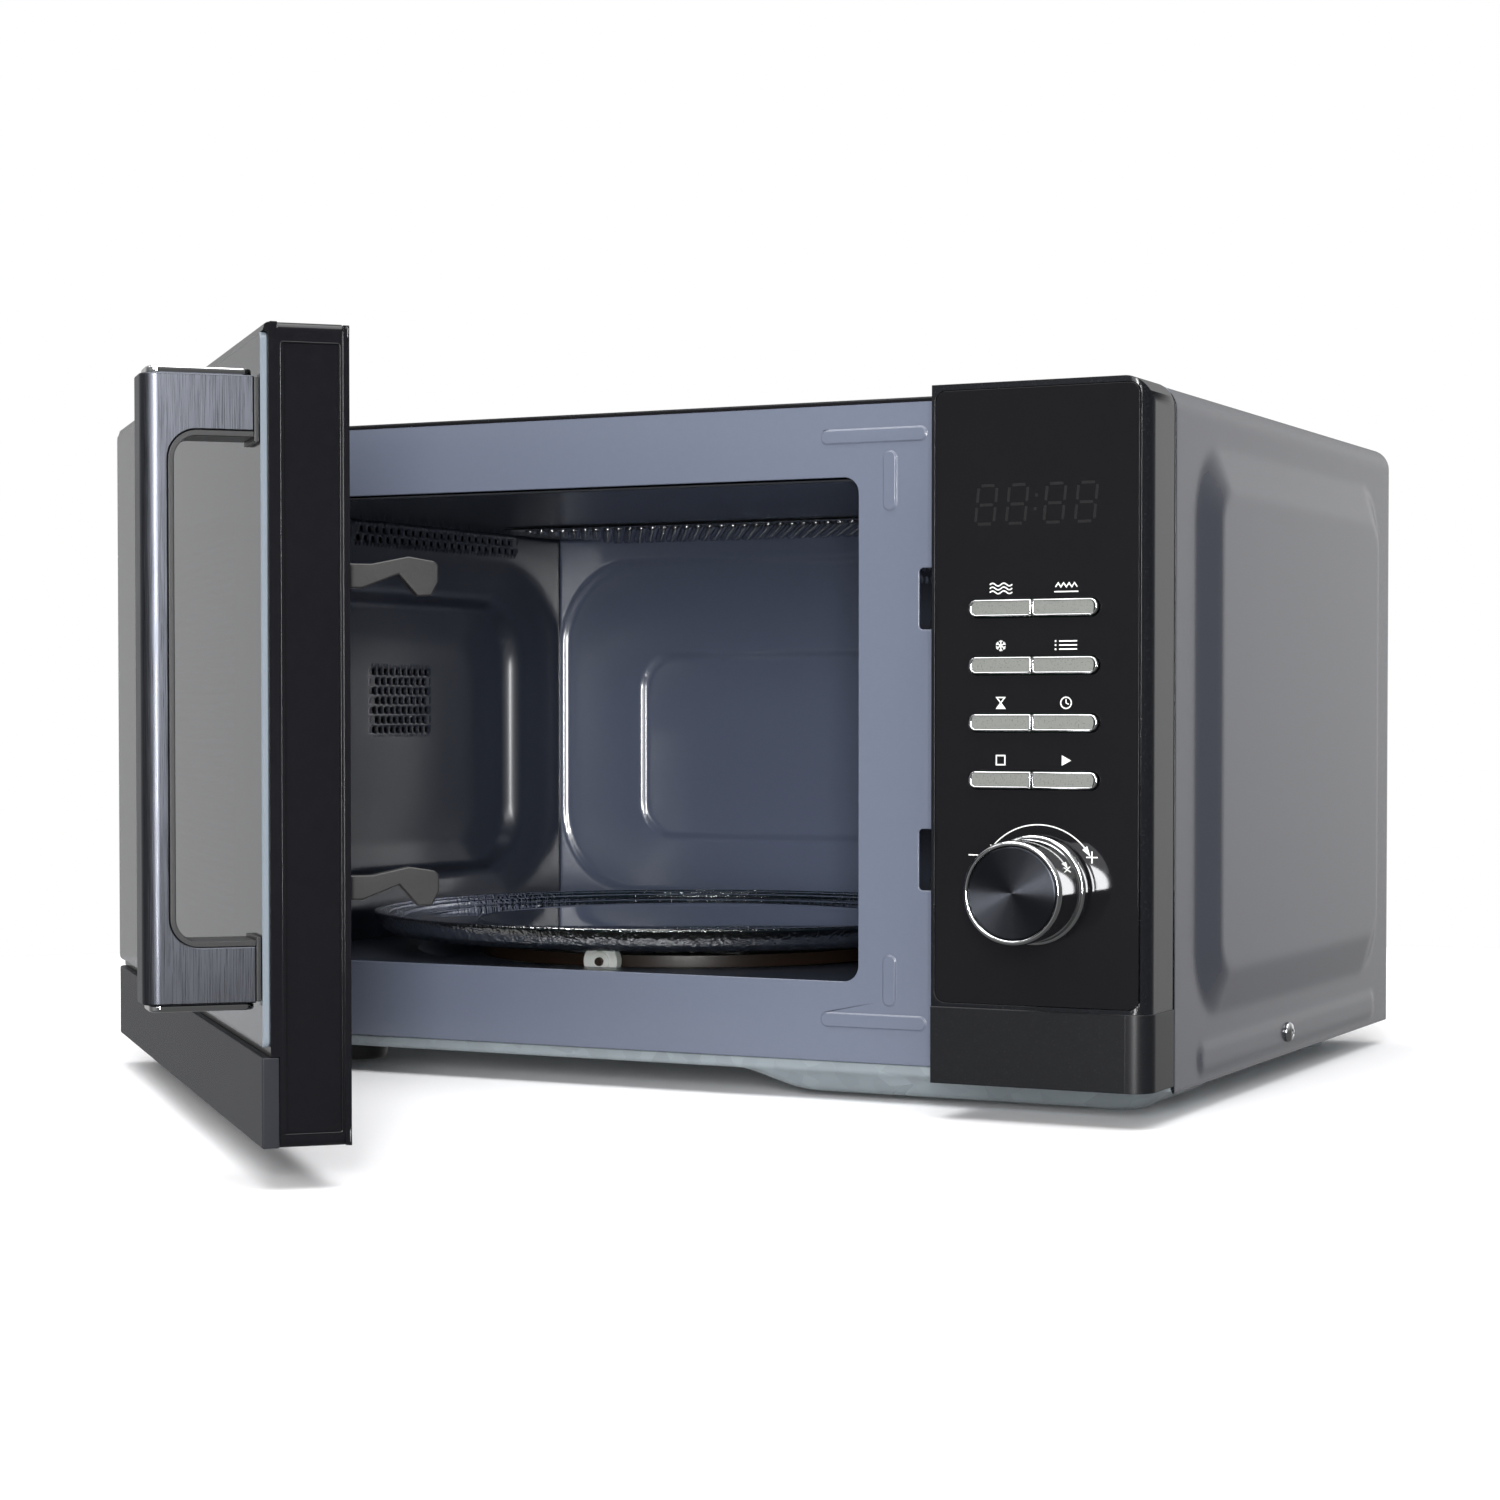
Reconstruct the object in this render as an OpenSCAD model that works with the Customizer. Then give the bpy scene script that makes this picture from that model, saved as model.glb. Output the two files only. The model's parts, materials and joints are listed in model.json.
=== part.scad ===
// Countertop microwave oven with a side-hinged door, a turntable and a ceiling grill.
// Millimetres, +X to the viewer's right, +Y towards the back, +Z up.
// The origin lies on the standing plane, at the middle of the cabinet's width,
// below the front edge of the outer casing. The door is drawn part open.

/* [Cabinet] */
// Width of the cabinet without the pressed side panels
cab_w = 440; // [430:1:450]
// Depth of the outer casing, front edge to rear edge
cab_d = 291; // [289:1:300]
// Height of the casing top above the standing plane
cab_top = 259; // [259:0.5:262]
// Height of the casing's lower edge above the standing plane
cab_floor = 10; // [9:0.5:10]
// Sheet metal thickness
sheet = 1; // [0.8:0.1:1]
// How far the pressed side panels stand out
side_press = 5; // [3:0.5:6]

/* [Door] */
// Opening angle at which the door is drawn
door_open = 45; // [0:1:105]
// Thickness of the door without the handle
door_t = 26; // [25:0.5:26]
// Height of the door's upper edge
door_top = 260.5; // [260:0.5:262]
// Height of the door's lower edge
door_bot = 13; // [12.5:0.5:13.5]
// Thickness of the front glass
glass_t = 2.2; // [1.8:0.1:2.4]
// Reach of the handle in front of the glass
handle_reach = 35; // [30:1:40]

/* [Cavity] */
// Height of the cooking cavity's ceiling
ceiling_z = 229; // [228:0.5:230]
// Height of the cavity floor beside the turntable recess
floor_z = 44; // [43.5:0.5:44]
// Radius of the glass tray
tray_r = 135; // [128:1:135]
// Radius of the circle that the roller wheels run on
wheel_track_r = 95; // [92:1:97]
// Radius of a roller wheel
wheel_r = 7.3; // [7:0.1:7.3]

/* [Control panel] */
// Height of the lowest button row
key_row_z = 120.5; // [118:0.5:122]
// Distance between two button rows
key_pitch = 20; // [18:0.5:21]
// Height of a button
key_h = 5.8; // [5:0.1:6.5]
// How far a button stands out of the panel glass
key_out = 1.6; // [1.4:0.1:2]
// Height of the knob's axis
knob_z = 82.4; // [80:0.1:84]
// Reach of the knob in front of the panel glass
knob_reach = 26; // [22:0.5:28]
// Radius of the knob
knob_r = 18; // [16:0.5:18]

/* [Hidden] */
$fn = 64;
half_w = cab_w / 2;
// The control panel and the closed door share one front plane
front_y = -29;
// Front face of the pressed front plate and rear face of the closed door
plate_y = -2;
door_back = front_y + door_t;
// Vertical dividing line between the door and the control panel
door_right = 137.9;
panel_left = 139.4;
// Hinge axis of the door
hinge_x = -210.75;
hinge_y = -14.5;
// Largest reach of the door behind its hinge axis
hinge_sweep_r = 11.8;
// Cooking cavity, inner faces
cav_left = -189;
cav_right = 101;
cav_back = 276;
open_left = -183;
open_right = 98.8;
open_bot = 44.8;
open_top = 230.6;
// Turntable axis
tray_x = (cav_left + cav_right) / 2;
tray_y = 137.5;
recess_r = 118;
recess_z = 37;
wheel_z = recess_z + 7.5;
tray_z = wheel_z + wheel_r + 0.2;
// The ring is drawn with its first wheel a little right of the front
ring_turn = -84;
// Rear panel plane
rear_y = cab_d - 3;
casing_r = 9;
// Latch hooks: thickness range along X, and the heights of the two hook roots
hook_x = 125;
hook_t = 4.5;
hook_z = [90.5, 185.5];
// Buttons and knob
key_left = 154;
key_mid = 177.8;
key_right = 202.1;
knob_x = 180;
button_gap = 0.4;
board_y = -17;
// Magnetron side compartment
guide_x = 102;
guide_out = 126;
fan_x = 166;
fan_z = 176;
fan_y = 250;
fan_r = 37;
// Feet: [x, y] of the three plastic ones; the fourth is drawn in the base pan
foot_at = [[-150, 42], [-188, 262], [188, 262]];
pan_foot = [188, 32];
side_screw = [137, 19];
// Cord gland in the rear panel
gland_x = 186;
gland_z = 44;
gland_r = 6.9;
// How far the left and the rear cavity wall are pressed outwards
left_press = 16;
rear_press = 9;
// Stems of the buttons, and the key switches they push
stem_x = [165.9, 190];
rear_screws = [[-205, 248], [0, 248], [205, 248], [-205, 60], [205, 90]];

// ---- helpers -------------------------------------------------------------

// Box between two corners
module box(a, b) { translate(a) cube(b - a); }

// Flat rounded rectangle from corner a to corner b
module rr(a, b, r) {
  translate([a[0] + r, a[1]]) square([b[0] - a[0] - 2 * r, b[1] - a[1]]);
  translate([a[0], a[1] + r]) square([b[0] - a[0], b[1] - a[1] - 2 * r]);
  for (x = [a[0] + r, b[0] - r], y = [a[1] + r, b[1] - r]) translate([x, y]) circle(r);
}

// Flat outlines drawn in XZ and raised along Y, and drawn in YZ and raised along X
module along_y(y0, y1) { translate([0, y1, 0]) rotate([90, 0, 0]) linear_extrude(y1 - y0) children(); }
module along_x(x0, x1) { translate([x0, 0, 0]) rotate([90, 0, 90]) linear_extrude(x1 - x0) children(); }

// Round bar along X, Y or Z
module bar_x(x0, x1, y, z, r) { translate([x0, y, z]) rotate([0, 90, 0]) cylinder(h = x1 - x0, r = r); }
module bar_y(x, y0, y1, z, r) { translate([x, y1, z]) rotate([90, 0, 0]) cylinder(h = y1 - y0, r = r); }
module bar_z(x, y, z0, z1, r) { translate([x, y, z0]) cylinder(h = z1 - z0, r = r); }

// Sloping-sided block on outline a at the bottom and outline b at height d;
// an outline is [x0, y0, x1, y1, corner radius]
module frustum(a, b, d) {
  hull() {
    linear_extrude(0.02) rr([a[0], a[1]], [a[2], a[3]], a[4], $fn = 32);
    translate([0, 0, d - 0.02]) linear_extrude(0.02) rr([b[0], b[1]], [b[2], b[3]], b[4], $fn = 32);
  }
}
function inset(a, t) = [a[0] + t, a[1] + t, a[2] - t, a[3] - t, max(a[4] - t, 1)];

// Pressed hollow of a sheet: a sloping-sided dish open at its bottom
module dish(a, b, d) {
  difference() {
    frustum(a, b, d);
    translate([0, 0, -0.01]) frustum(inset(a, sheet), inset(b, sheet), d - sheet + 0.01);
  }
}

// Sheet that carries one dish: outline lo to hi, opened under the dish
module pressed_sheet(lo, hi, a, b, d) {
  difference() {
    linear_extrude(sheet) rr(lo, hi, 1);
    translate([0, 0, -1]) linear_extrude(sheet + 2) rr([a[0] + sheet, a[1] + sheet],
      [a[2] - sheet, a[3] - sheet], max(a[4] - sheet, 1), $fn = 32);
  }
  dish(a, b, d);
}

// Door pieces are drawn closed and swung open about the hinge axis
module swung() {
  translate([hinge_x, hinge_y, 0]) rotate([0, 0, -door_open]) translate([-hinge_x, -hinge_y, 0]) children();
}

// ---- cabinet -------------------------------------------------------------

side_a = [22, 34, 272, 240, 28];
side_b = [42, 54, 252, 220, 16];

module casing_profile() {
  difference() {
    union() {
      rr([-half_w, cab_floor], [half_w, cab_top], casing_r);
      translate([-half_w, cab_floor]) square([cab_w, 60]);
    }
    union() {
      rr([-half_w + sheet, cab_floor - 20], [half_w - sheet, cab_top - sheet], casing_r - sheet);
    }
  }
}
module outer_casing() {
  color("dimgray") difference() {
    union() {
      difference() {
        along_y(0, cab_d) casing_profile();
        along_x(-half_w - 2, half_w + 2) rr([side_a[0] + sheet, side_a[1] + sheet],
          [side_a[2] - sheet, side_a[3] - sheet], side_a[4] - sheet, $fn = 32);
      }
      for (m = [0, 1]) mirror([m, 0, 0]) {
        translate([half_w - 0.02, 0, 0]) rotate([90, 0, 90]) dish(side_a, side_b, side_press);
        along_x(half_w, half_w + 0.8) rr([27, 14], [268, 24], 4.9);
      }
    }
    bar_x(-half_w - 9, half_w + 9, side_screw[0], side_screw[1], 2.1);
  }
}

module rear_panel() {
  color("dimgray") difference() {
    along_y(rear_y, rear_y + sheet) {
      rr([-half_w + 1.3, 11.8], [half_w - 1.3, cab_top - 1.3], 7.6);
      translate([-half_w + 1.3, 11.8]) square([cab_w - 2.6, 40]);
    }
    // air outlet louvres behind the fan and beside the cavity
    for (i = [0:3], j = [0:9])
      along_y(rear_y - 1, rear_y + 3) translate([122 + 22 * i, 128 + 9.6 * j]) rr([0, 0], [16, 4], 1.9);
    for (i = [0:4], j = [0:3])
      along_y(rear_y - 1, rear_y + 3) translate([-170 + 22 * i, 196 + 9.6 * j]) rr([0, 0], [16, 4], 1.9);
    bar_y(gland_x, rear_y - 1, rear_y + 3, gland_z, gland_r + 0.2);
    for (p = rear_screws) bar_y(p[0], rear_y - 1, rear_y + 3, p[1], 2.1);
  }
}

pan_z = 10.5;
pan_a = [44, 0.6, 212, 90, 14];
pan_b = [66, 5, 208, 84, 10];
module base_pan() {
  color("lightslategray") difference() {
    union() {
      difference() {
        box([-half_w + 1.2, -1, pan_z], [half_w - 1.2, cab_d - 4, pan_z + sheet]);
        translate([0, 0, pan_z - 1]) linear_extrude(4) rr([pan_a[0] + sheet, pan_a[1] + sheet],
          [pan_a[2] - sheet, pan_a[3] - sheet], pan_a[4] - sheet, $fn = 32);
      }
      translate([0, 0, pan_z + sheet]) mirror([0, 0, 1]) dish(pan_a, pan_b, pan_z + sheet - 2.5);
      // front lip below the front plate and side flanges inside the casing
      box([-half_w + 1.2, -1, pan_z], [half_w - 1.2, 0, 14.9]);
      for (s = [-1, 1]) translate([s > 0 ? half_w - 2.2 : -half_w + 1.2, 0, pan_z])
        box([0, 0, 0], [sheet, cab_d - 4, 18]);
      bar_z(pan_foot[0], pan_foot[1], 0.6, 3, 13);
      bar_z(pan_foot[0], pan_foot[1], 0, 0.7, 11.5);
    }
    bar_x(-half_w - 9, half_w + 9, side_screw[0], side_screw[1], 2.1);
    // holes for the foot screws and cooling slots below the transformer side
    for (p = foot_at) bar_z(p[0], p[1], pan_z - 1, pan_z + 3, 2.1);
    for (i = [0:5]) translate([120 + 14 * i, 180, pan_z - 1]) linear_extrude(4) rr([0, 0], [5, 60], 2.4);
  }
}

module plastic_feet() {
  color([0.2, 0.2, 0.21]) for (p = foot_at) translate([p[0], p[1], 0]) difference() {
    union() {
      cylinder(h = pan_z, r1 = 11, r2 = 13);
      translate([0, 0, pan_z - 0.02]) cylinder(h = 3, r = 2);
    }
    translate([0, 0, -1]) cylinder(h = 4, r = 4.5);
  }
}

module plate_rib(a, b) { along_y(plate_y - 0.7, plate_y + 0.1) rr(a, b, 2.4); }
module front_plate() {
  color([0.42, 0.44, 0.52]) difference() {
    union() {
      along_y(plate_y, plate_y + sheet) rr([-half_w + 1.5, 15], [half_w - 1.5, 258.2], 4);
      // stiffening beads beside the opening, two tees
      plate_rib([84, 243], [126, 248]);
      plate_rib([109, 218], [114, 239.5]);
      plate_rib([84, 28], [126, 33]);
      plate_rib([109, 36.5], [114, 55]);
    }
    along_y(plate_y - 3, plate_y + 3) {
      rr([open_left, open_bot], [open_right, open_top], 6);
      // latch slots
      for (z = hook_z) rr([123.2, z - 11.2], [134.5, z + 11.2], 1.5);
      // wiring window behind the control panel
      rr([150, 50], [208, 240], 5);
      // slots for the hinge arms
      for (z = [252, 17]) rr([hinge_x - 6, z], [hinge_x + 6, z + 4.5], 1);
    }
  }
}

// ---- cooking cavity --------------------------------------------------------

wall_a = [14, 58, 262, 217, 40];
wall_b = [54, 84, 222, 176, 18];
module vent_field(y0, z0, ny, nz, py, pz, ry) {
  for (i = [0:ny - 1], j = [0:nz - 1])
    translate([y0 + py * (i + 0.5 * (j % 2)), z0 + pz * j]) circle(ry, $fn = 24);
}
module cavity_left_wall() {
  color([0.2, 0.22, 0.25]) difference() {
    translate([cav_left, 0, 0]) mirror([1, 0, 0]) rotate([90, 0, 90])
      pressed_sheet([-1, floor_z - 1], [cav_back, ceiling_z], wall_a, wall_b, left_press);
    along_x(cav_left - left_press - 3, cav_left + 1) {
      vent_field(131, 135, 10, 7, 4.9, 4.7, 1.5);
      vent_field(96, 220.5, 24, 2, 6, 5, 1.5);
    }
  }
}
module cavity_right_wall() {
  color([0.3, 0.32, 0.38]) difference() {
    translate([cav_right, 0, 0]) rotate([90, 0, 90])
      linear_extrude(sheet) rr([-1, floor_z - 1], [cav_back, ceiling_z], 1);
    along_x(cav_right - 1, cav_right + 3) {
      rr([112, 150], [164, 184], 3);
      vent_field(190, 200, 8, 4, 4.9, 4.7, 1.5);
      vent_field(40, 195, 6, 5, 4.9, 4.7, 1.5);
    }
  }
}
rear_a = [-186, 58, 97, 217, 40];
rear_b = [-145, 85, 56, 172, 16];
module cavity_rear_wall() {
  color([0.3, 0.32, 0.38]) translate([0, cav_back, 0]) mirror([0, 1, 0]) rotate([90, 0, 0])
    pressed_sheet([cav_left - 1, floor_z - 1], [cav_right + 1, ceiling_z], rear_a, rear_b, rear_press);
}
module cavity_ceiling() {
  color([0.2, 0.22, 0.25]) difference() {
    box([cav_left - 1, -1, ceiling_z], [cav_right + 1, cav_back + 1, ceiling_z + sheet]);
    translate([0, 0, ceiling_z - 1]) linear_extrude(4) rr([-155, 184], [67, 270], 6);
  }
}
module cavity_floor() {
  color([0.3, 0.32, 0.38]) {
    difference() {
      box([cav_left + 0.1, -1, floor_z - 1], [cav_right - 0.1, cav_back - 0.1, floor_z]);
      bar_z(tray_x, tray_y, floor_z - 3, floor_z + 3, recess_r);
    }
    translate([tray_x, tray_y, 0]) rotate_extrude($fn = 128) polygon([[7, recess_z - 1],
      [recess_r - 9, recess_z - 1], [recess_r - 1, floor_z - 1], [recess_r + 0.05, floor_z - 1],
      [recess_r + 0.05, floor_z], [recess_r - 1.6, floor_z], [recess_r - 9.6, recess_z], [7, recess_z]]);
  }
}

module grill_guard() {
  color("silver") difference() {
    translate([0, 0, ceiling_z - 1.2]) linear_extrude(sheet) rr([-161, 178], [73, cav_back - 0.8], 5);
    for (i = [0:19], j = [0:6]) translate([-146 + 10.6 * i + 5.3 * (j % 2), 190.5 + 11.6 * j, ceiling_z - 3])
      rotate([0, 0, 30]) cylinder(h = 5, r = 3.6, $fn = 24);
  }
}
module grill_heaters() {
  color([0.75, 0.72, 0.68]) for (y = [208, 246]) {
    bar_x(-150, 62, y, 239, 4);
    for (x = [-155.9, 62]) bar_x(x, x + 5.9, y, 239, 6);
  }
}
module grill_reflector() {
  color("silver") difference() {
    box([-157, 182, ceiling_z + sheet], [69, 272, 253]);
    box([-156, 183, ceiling_z], [68, 271, 252]);
  }
}

// ---- microwave source and its power supply ---------------------------------

module waveguide_cover() {
  color([0.72, 0.66, 0.55]) along_x(cav_right - 0.6, cav_right - 0.05) rr([104, 143], [172, 191], 3);
}
module waveguide() {
  color("lightsteelblue") difference() {
    box([guide_x, 100, 142], [guide_out, 196, 214]);
    box([guide_x - 1, 101.2, 143.2], [guide_out - 1.2, 194.8, 212.8]);
    bar_x(guide_out - 3, guide_out + 1, 146, 186, 11);
  }
}
module magnetron() {
  color([0.6, 0.6, 0.62]) {
    difference() {
      box([guide_out, 106, 148], [guide_out + 62, 188, 224]);
      box([guide_out + 2, 104, 150], [guide_out + 60, 190, 222]);
    }
    bar_x(guide_out - 18, guide_out + 1, 146, 186, 8);
    bar_x(guide_out + 1, guide_out + 61, 146, 186, 17);
    for (i = [0:7]) box([guide_out + 11 + 5.2 * i, 108, 149], [guide_out + 11.8 + 5.2 * i, 184, 223]);
    box([guide_out + 61.9, 130, 168], [guide_out + 78, 166, 204]);
  }
}
trafo_lo = [122, 66];
module transformer_core() {
  color([0.45, 0.43, 0.42]) difference() {
    box([trafo_lo[0], trafo_lo[1] + 24, pan_z + sheet], [trafo_lo[0] + 88, trafo_lo[1] + 70, 85]);
    for (x = [18, 56]) translate([trafo_lo[0] + x, trafo_lo[1], 0])
      box([0, 20, 26], [14, 74, 72]);
  }
}
module transformer_windings() {
  color("chocolate") for (z = [27, 50]) difference() {
    translate([trafo_lo[0], trafo_lo[1], z]) linear_extrude(20) rr([18.3, 10], [69.7, 84], 9);
    translate([trafo_lo[0], trafo_lo[1], z - 1]) linear_extrude(22) rr([31.7, 23.7], [56.3, 70.3], 0.5);
  }
}
module hv_capacitor() {
  color("silver") {
    translate([0, 0, pan_z + sheet]) linear_extrude(34) rr([134, 184], [182, 254], 15);
    for (x = [148, 168]) bar_z(x, 204, pan_z + sheet + 33.9, pan_z + sheet + 42, 3);
  }
}
module fan_shroud() {
  color("whitesmoke") difference() {
    box([fan_x - 44, fan_y - 8, fan_z - 44], [fan_x + 44, fan_y + 12, fan_z + 44]);
    bar_y(fan_x, fan_y - 10, fan_y + 10, fan_z, fan_r + 2.5);
    for (a = [45:90:315])
      along_y(fan_y, fan_y + 14) translate([fan_x, fan_z]) rotate(a) rr([15, -9], [36, 9], 8.5);
    bar_y(fan_x, fan_y + 5, fan_y + 15, fan_z, 3.2);
  }
}
module fan_motor() {
  color([0.5, 0.5, 0.52]) difference() {
    union() {
      box([fan_x - 20, fan_y + 12, fan_z - 16], [fan_x + 20, fan_y + 30, fan_z + 16]);
      bar_y(fan_x, fan_y + 12, fan_y + 34, fan_z, 13);
    }
    bar_y(fan_x, fan_y + 11, fan_y + 24, fan_z, 2.48);
  }
}
module fan_blade() {
  color([0.3, 0.3, 0.32]) {
    bar_y(fan_x, fan_y - 6, fan_y + 8, fan_z, 10);
    bar_y(fan_x, fan_y + 7, fan_y + 22, fan_z, 2.4);
    translate([fan_x, fan_y, fan_z]) for (a = [0:72:288]) rotate([0, a, 0])
      translate([0, 0, 8]) rotate([0, 0, 32]) translate([-11, -0.8, 0]) cube([22, 1.6, fan_r - 10]);
  }
}

// ---- turntable --------------------------------------------------------------

module turntable_motor() {
  color([0.62, 0.63, 0.65]) difference() {
    union() {
      bar_z(tray_x, tray_y, pan_z + sheet, recess_z - 4, 24.5);
      translate([tray_x, tray_y, recess_z - 4.1]) linear_extrude(1.9) rr([-31, -6], [31, 6], 5.9);
    }
    bar_z(tray_x, tray_y, 18, recess_z, 3.38);
  }
}
module turntable_coupler() {
  color([0.16, 0.15, 0.15]) {
    bar_z(tray_x, tray_y, recess_z + 1, tray_z - 0.02, 9);
    bar_z(tray_x, tray_y, 20, recess_z + 1.1, 3.3);
    for (a = [30:120:270]) translate([tray_x, tray_y, recess_z + 2]) rotate([0, 0, a]) linear_extrude(11)
      rr([6, -4], [26, 4], 3.5);
  }
}
module glass_tray() {
  color([0.55, 0.62, 0.6, 0.6]) {
    translate([tray_x, tray_y, tray_z]) rotate_extrude($fn = 128) polygon([[0, 0],
      [tray_r - 22, 0], [tray_r - 9, 2.2], [tray_r - 2, 5.6], [tray_r, 8.6], [tray_r - 3.2, 8.6],
      [tray_r - 10.5, 6.2], [tray_r - 23, 4.2], [0, 4.2]]);
    for (a = [90:120:330]) translate([tray_x, tray_y, tray_z - 4]) rotate([0, 0, a]) linear_extrude(4.1)
      rr([15, -3.5], [24, 3.5], 3);
  }
}
module roller_ring() {
  color([0.36, 0.24, 0.16]) {
    translate([tray_x, tray_y, wheel_z - 2.8]) difference() {
      cylinder(h = 5, r = wheel_track_r - 6, $fn = 128);
      translate([0, 0, -1]) cylinder(h = 7, r = wheel_track_r - 12, $fn = 128);
    }
    for (i = [0:2]) translate([tray_x, tray_y, 0]) rotate([0, 0, ring_turn + 120 * i])
      bar_x(wheel_track_r - 7, wheel_track_r + 4.6, 0, wheel_z, 1.7);
  }
}
module roller_wheel(i) {
  color("white") translate([tray_x, tray_y, 0]) rotate([0, 0, ring_turn + 120 * i]) difference() {
    union() {
      bar_x(wheel_track_r - 2.6, wheel_track_r + 2.6, 0, wheel_z, wheel_r);
      bar_x(wheel_track_r - 3.6, wheel_track_r + 3.6, 0, wheel_z, 4);
    }
    bar_x(wheel_track_r - 5, wheel_track_r + 5, 0, wheel_z, 1.78);
  }
}
module roller_wheel_1() { roller_wheel(0); }
module roller_wheel_2() { roller_wheel(1); }
module roller_wheel_3() { roller_wheel(2); }

// ---- control panel ----------------------------------------------------------

lens_lo = [140.9, 41.6];
lens_hi = [216.6, 257.2];
panel_top = 259.5;
panel_bot = 12.8;
block_top = 39.9;
function key_z(row) = key_row_z + key_pitch * row;

// Outline of one button: left half-stadium (side 0) or right half-stadium (side 1)
module key_shape(side, grow) {
  r = key_h / 2;
  if (side == 0) {
    translate([key_left + r, 0]) circle(r + grow);
    translate([key_left + r, -r - grow]) square([key_mid - 0.2 - key_left - r + grow, key_h + 2 * grow]);
  } else {
    translate([key_right - r, 0]) circle(r + grow);
    translate([key_mid + 0.2 - grow, -r - grow])
      square([key_right - r - key_mid - 0.2 + grow, key_h + 2 * grow]);
  }
}
module key_slots(grow) {
  for (row = [0:3], side = [0, 1]) translate([0, key_z(row)]) key_shape(side, grow);
}

// Panel outline in plan: square at the door side, rounded at the cabinet's corner
module panel_plan(r, out) {
  translate([panel_left, front_y - out]) square([half_w - panel_left - r, plate_y - 0.2 - front_y + out]);
  translate([panel_left, front_y - out + r])
    square([half_w + out - panel_left, plate_y - 0.2 - front_y + out - r]);
  translate([half_w + out - r, front_y - out + r]) circle(r);
}
module panel_housing() {
  color([0.17, 0.17, 0.18]) difference() {
    union() {
      difference() {
        union() {
          translate([0, 0, panel_bot]) linear_extrude(panel_top - panel_bot) panel_plan(7, 0);
          translate([0, 0, panel_bot]) linear_extrude(block_top - panel_bot) panel_plan(8, 0.6);
        }
        along_y(front_y + 4.6, plate_y) rr([panel_left + 2, panel_bot + 2], [half_w - 2.2, panel_top - 2.2], 7);
      }
      // ribs of the board
      for (z = [58, 236]) box([146, front_y + 4.5, z], [150, board_y - 0.02, z + 4]);
      for (z = [58, 236]) box([207, front_y + 4.5, z], [211, board_y - 0.02, z + 4]);
    }
    // seat of the panel glass, flush with the front
    along_y(front_y - 3, front_y + 2.1) rr([lens_lo[0] - 0.1, lens_lo[1] - 0.1],
      [lens_hi[0] + 0.1, lens_hi[1] + 0.1], 4);
    along_y(front_y, front_y + 6) key_slots(button_gap);
    along_y(front_y, front_y + 6) rr([151, 205], [206, 229], 1);
    bar_y(knob_x, front_y - 1, front_y + 6, knob_z, 5.5);
    // upper corner rounded like the casing's
    along_y(front_y - 1, plate_y + 1) difference() {
      translate([half_w - casing_r, panel_top - casing_r]) square([casing_r + 2, casing_r + 2]);
      translate([half_w - casing_r, panel_top - casing_r]) circle(casing_r);
    }
  }
}
module panel_glass() {
  color([0.1, 0.1, 0.12]) difference() {
    along_y(front_y, front_y + 2) rr(lens_lo, lens_hi, 3.9);
    along_y(front_y - 1, front_y + 3) key_slots(button_gap);
    bar_y(knob_x, front_y - 1, front_y + 3, knob_z, 5.5);
  }
}
module display_module() {
  color([0.12, 0.12, 0.13]) box([151.3, front_y + 2.05, 205.3], [205.7, board_y - 0.05, 228.7]);
}
module control_board() {
  color("darkgreen") {
    difference() {
      box([144, board_y, 52], [214, board_y + 1.6, 246]);
      bar_y(knob_x, board_y - 1, board_y + 3, knob_z, 5);
    }
    // key switches, relay and power transformer
    for (row = [0:3], x = stem_x) {
      box([x - 3, board_y - 3.4, key_z(row) - 3], [x + 3, board_y + 0.1, key_z(row) + 3]);
    }
    box([150, board_y + 1.5, 90], [172, board_y + 13, 118]);
    box([182, board_y + 1.5, 130], [204, board_y + 12, 150]);
  }
}
module knob_encoder() {
  color("silver") difference() {
    union() {
      box([knob_x - 7, front_y + 5.2, knob_z - 7], [knob_x + 7, board_y - 0.05, knob_z + 7]);
      bar_y(knob_x, board_y - 0.1, board_y + 4, knob_z, 4.6);
    }
    bar_y(knob_x, front_y, board_y + 2.5, knob_z, 3.08);
  }
}
knob_tip = front_y - knob_reach;
module knob_body() {
  color("silver") difference() {
    union() {
      bar_y(knob_x, front_y - 6, front_y - 0.5, knob_z, knob_r + 1.2);
      bar_y(knob_x, front_y - 8, front_y - 5.9, knob_z, knob_r - 0.6);
      bar_y(knob_x, knob_tip + 1.2, front_y - 7.9, knob_z, knob_r);
      translate([knob_x, knob_tip + 1.21, knob_z]) rotate([90, 0, 0])
        cylinder(h = 1.21, r1 = knob_r, r2 = knob_r - 0.9);
      bar_y(knob_x, front_y - 0.6, board_y + 1.5, knob_z, 3);
    }
    bar_y(knob_x, knob_tip - 1, knob_tip + 1.2, knob_z, knob_r - 2);
  }
}
module knob_face() {
  color([0.25, 0.26, 0.29]) bar_y(knob_x, knob_tip + 0.5, knob_tip + 1.18, knob_z, knob_r - 2.1);
}
module button(i) {
  row = 3 - floor(i / 2);
  color([0.66, 0.66, 0.65]) {
    along_y(front_y - key_out, front_y + 4.4) translate([0, key_z(row)]) key_shape(i % 2, 0);
    bar_y(stem_x[i % 2], front_y + 4.3, board_y - 4.6, key_z(row), 1.8);
  }
}
module button_1() { button(0); }
module button_2() { button(1); }
module button_3() { button(2); }
module button_4() { button(3); }
module button_5() { button(4); }
module button_6() { button(5); }
module button_7() { button(6); }
module button_8() { button(7); }

// ---- interlock, lamp, fasteners -----------------------------------------------

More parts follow.
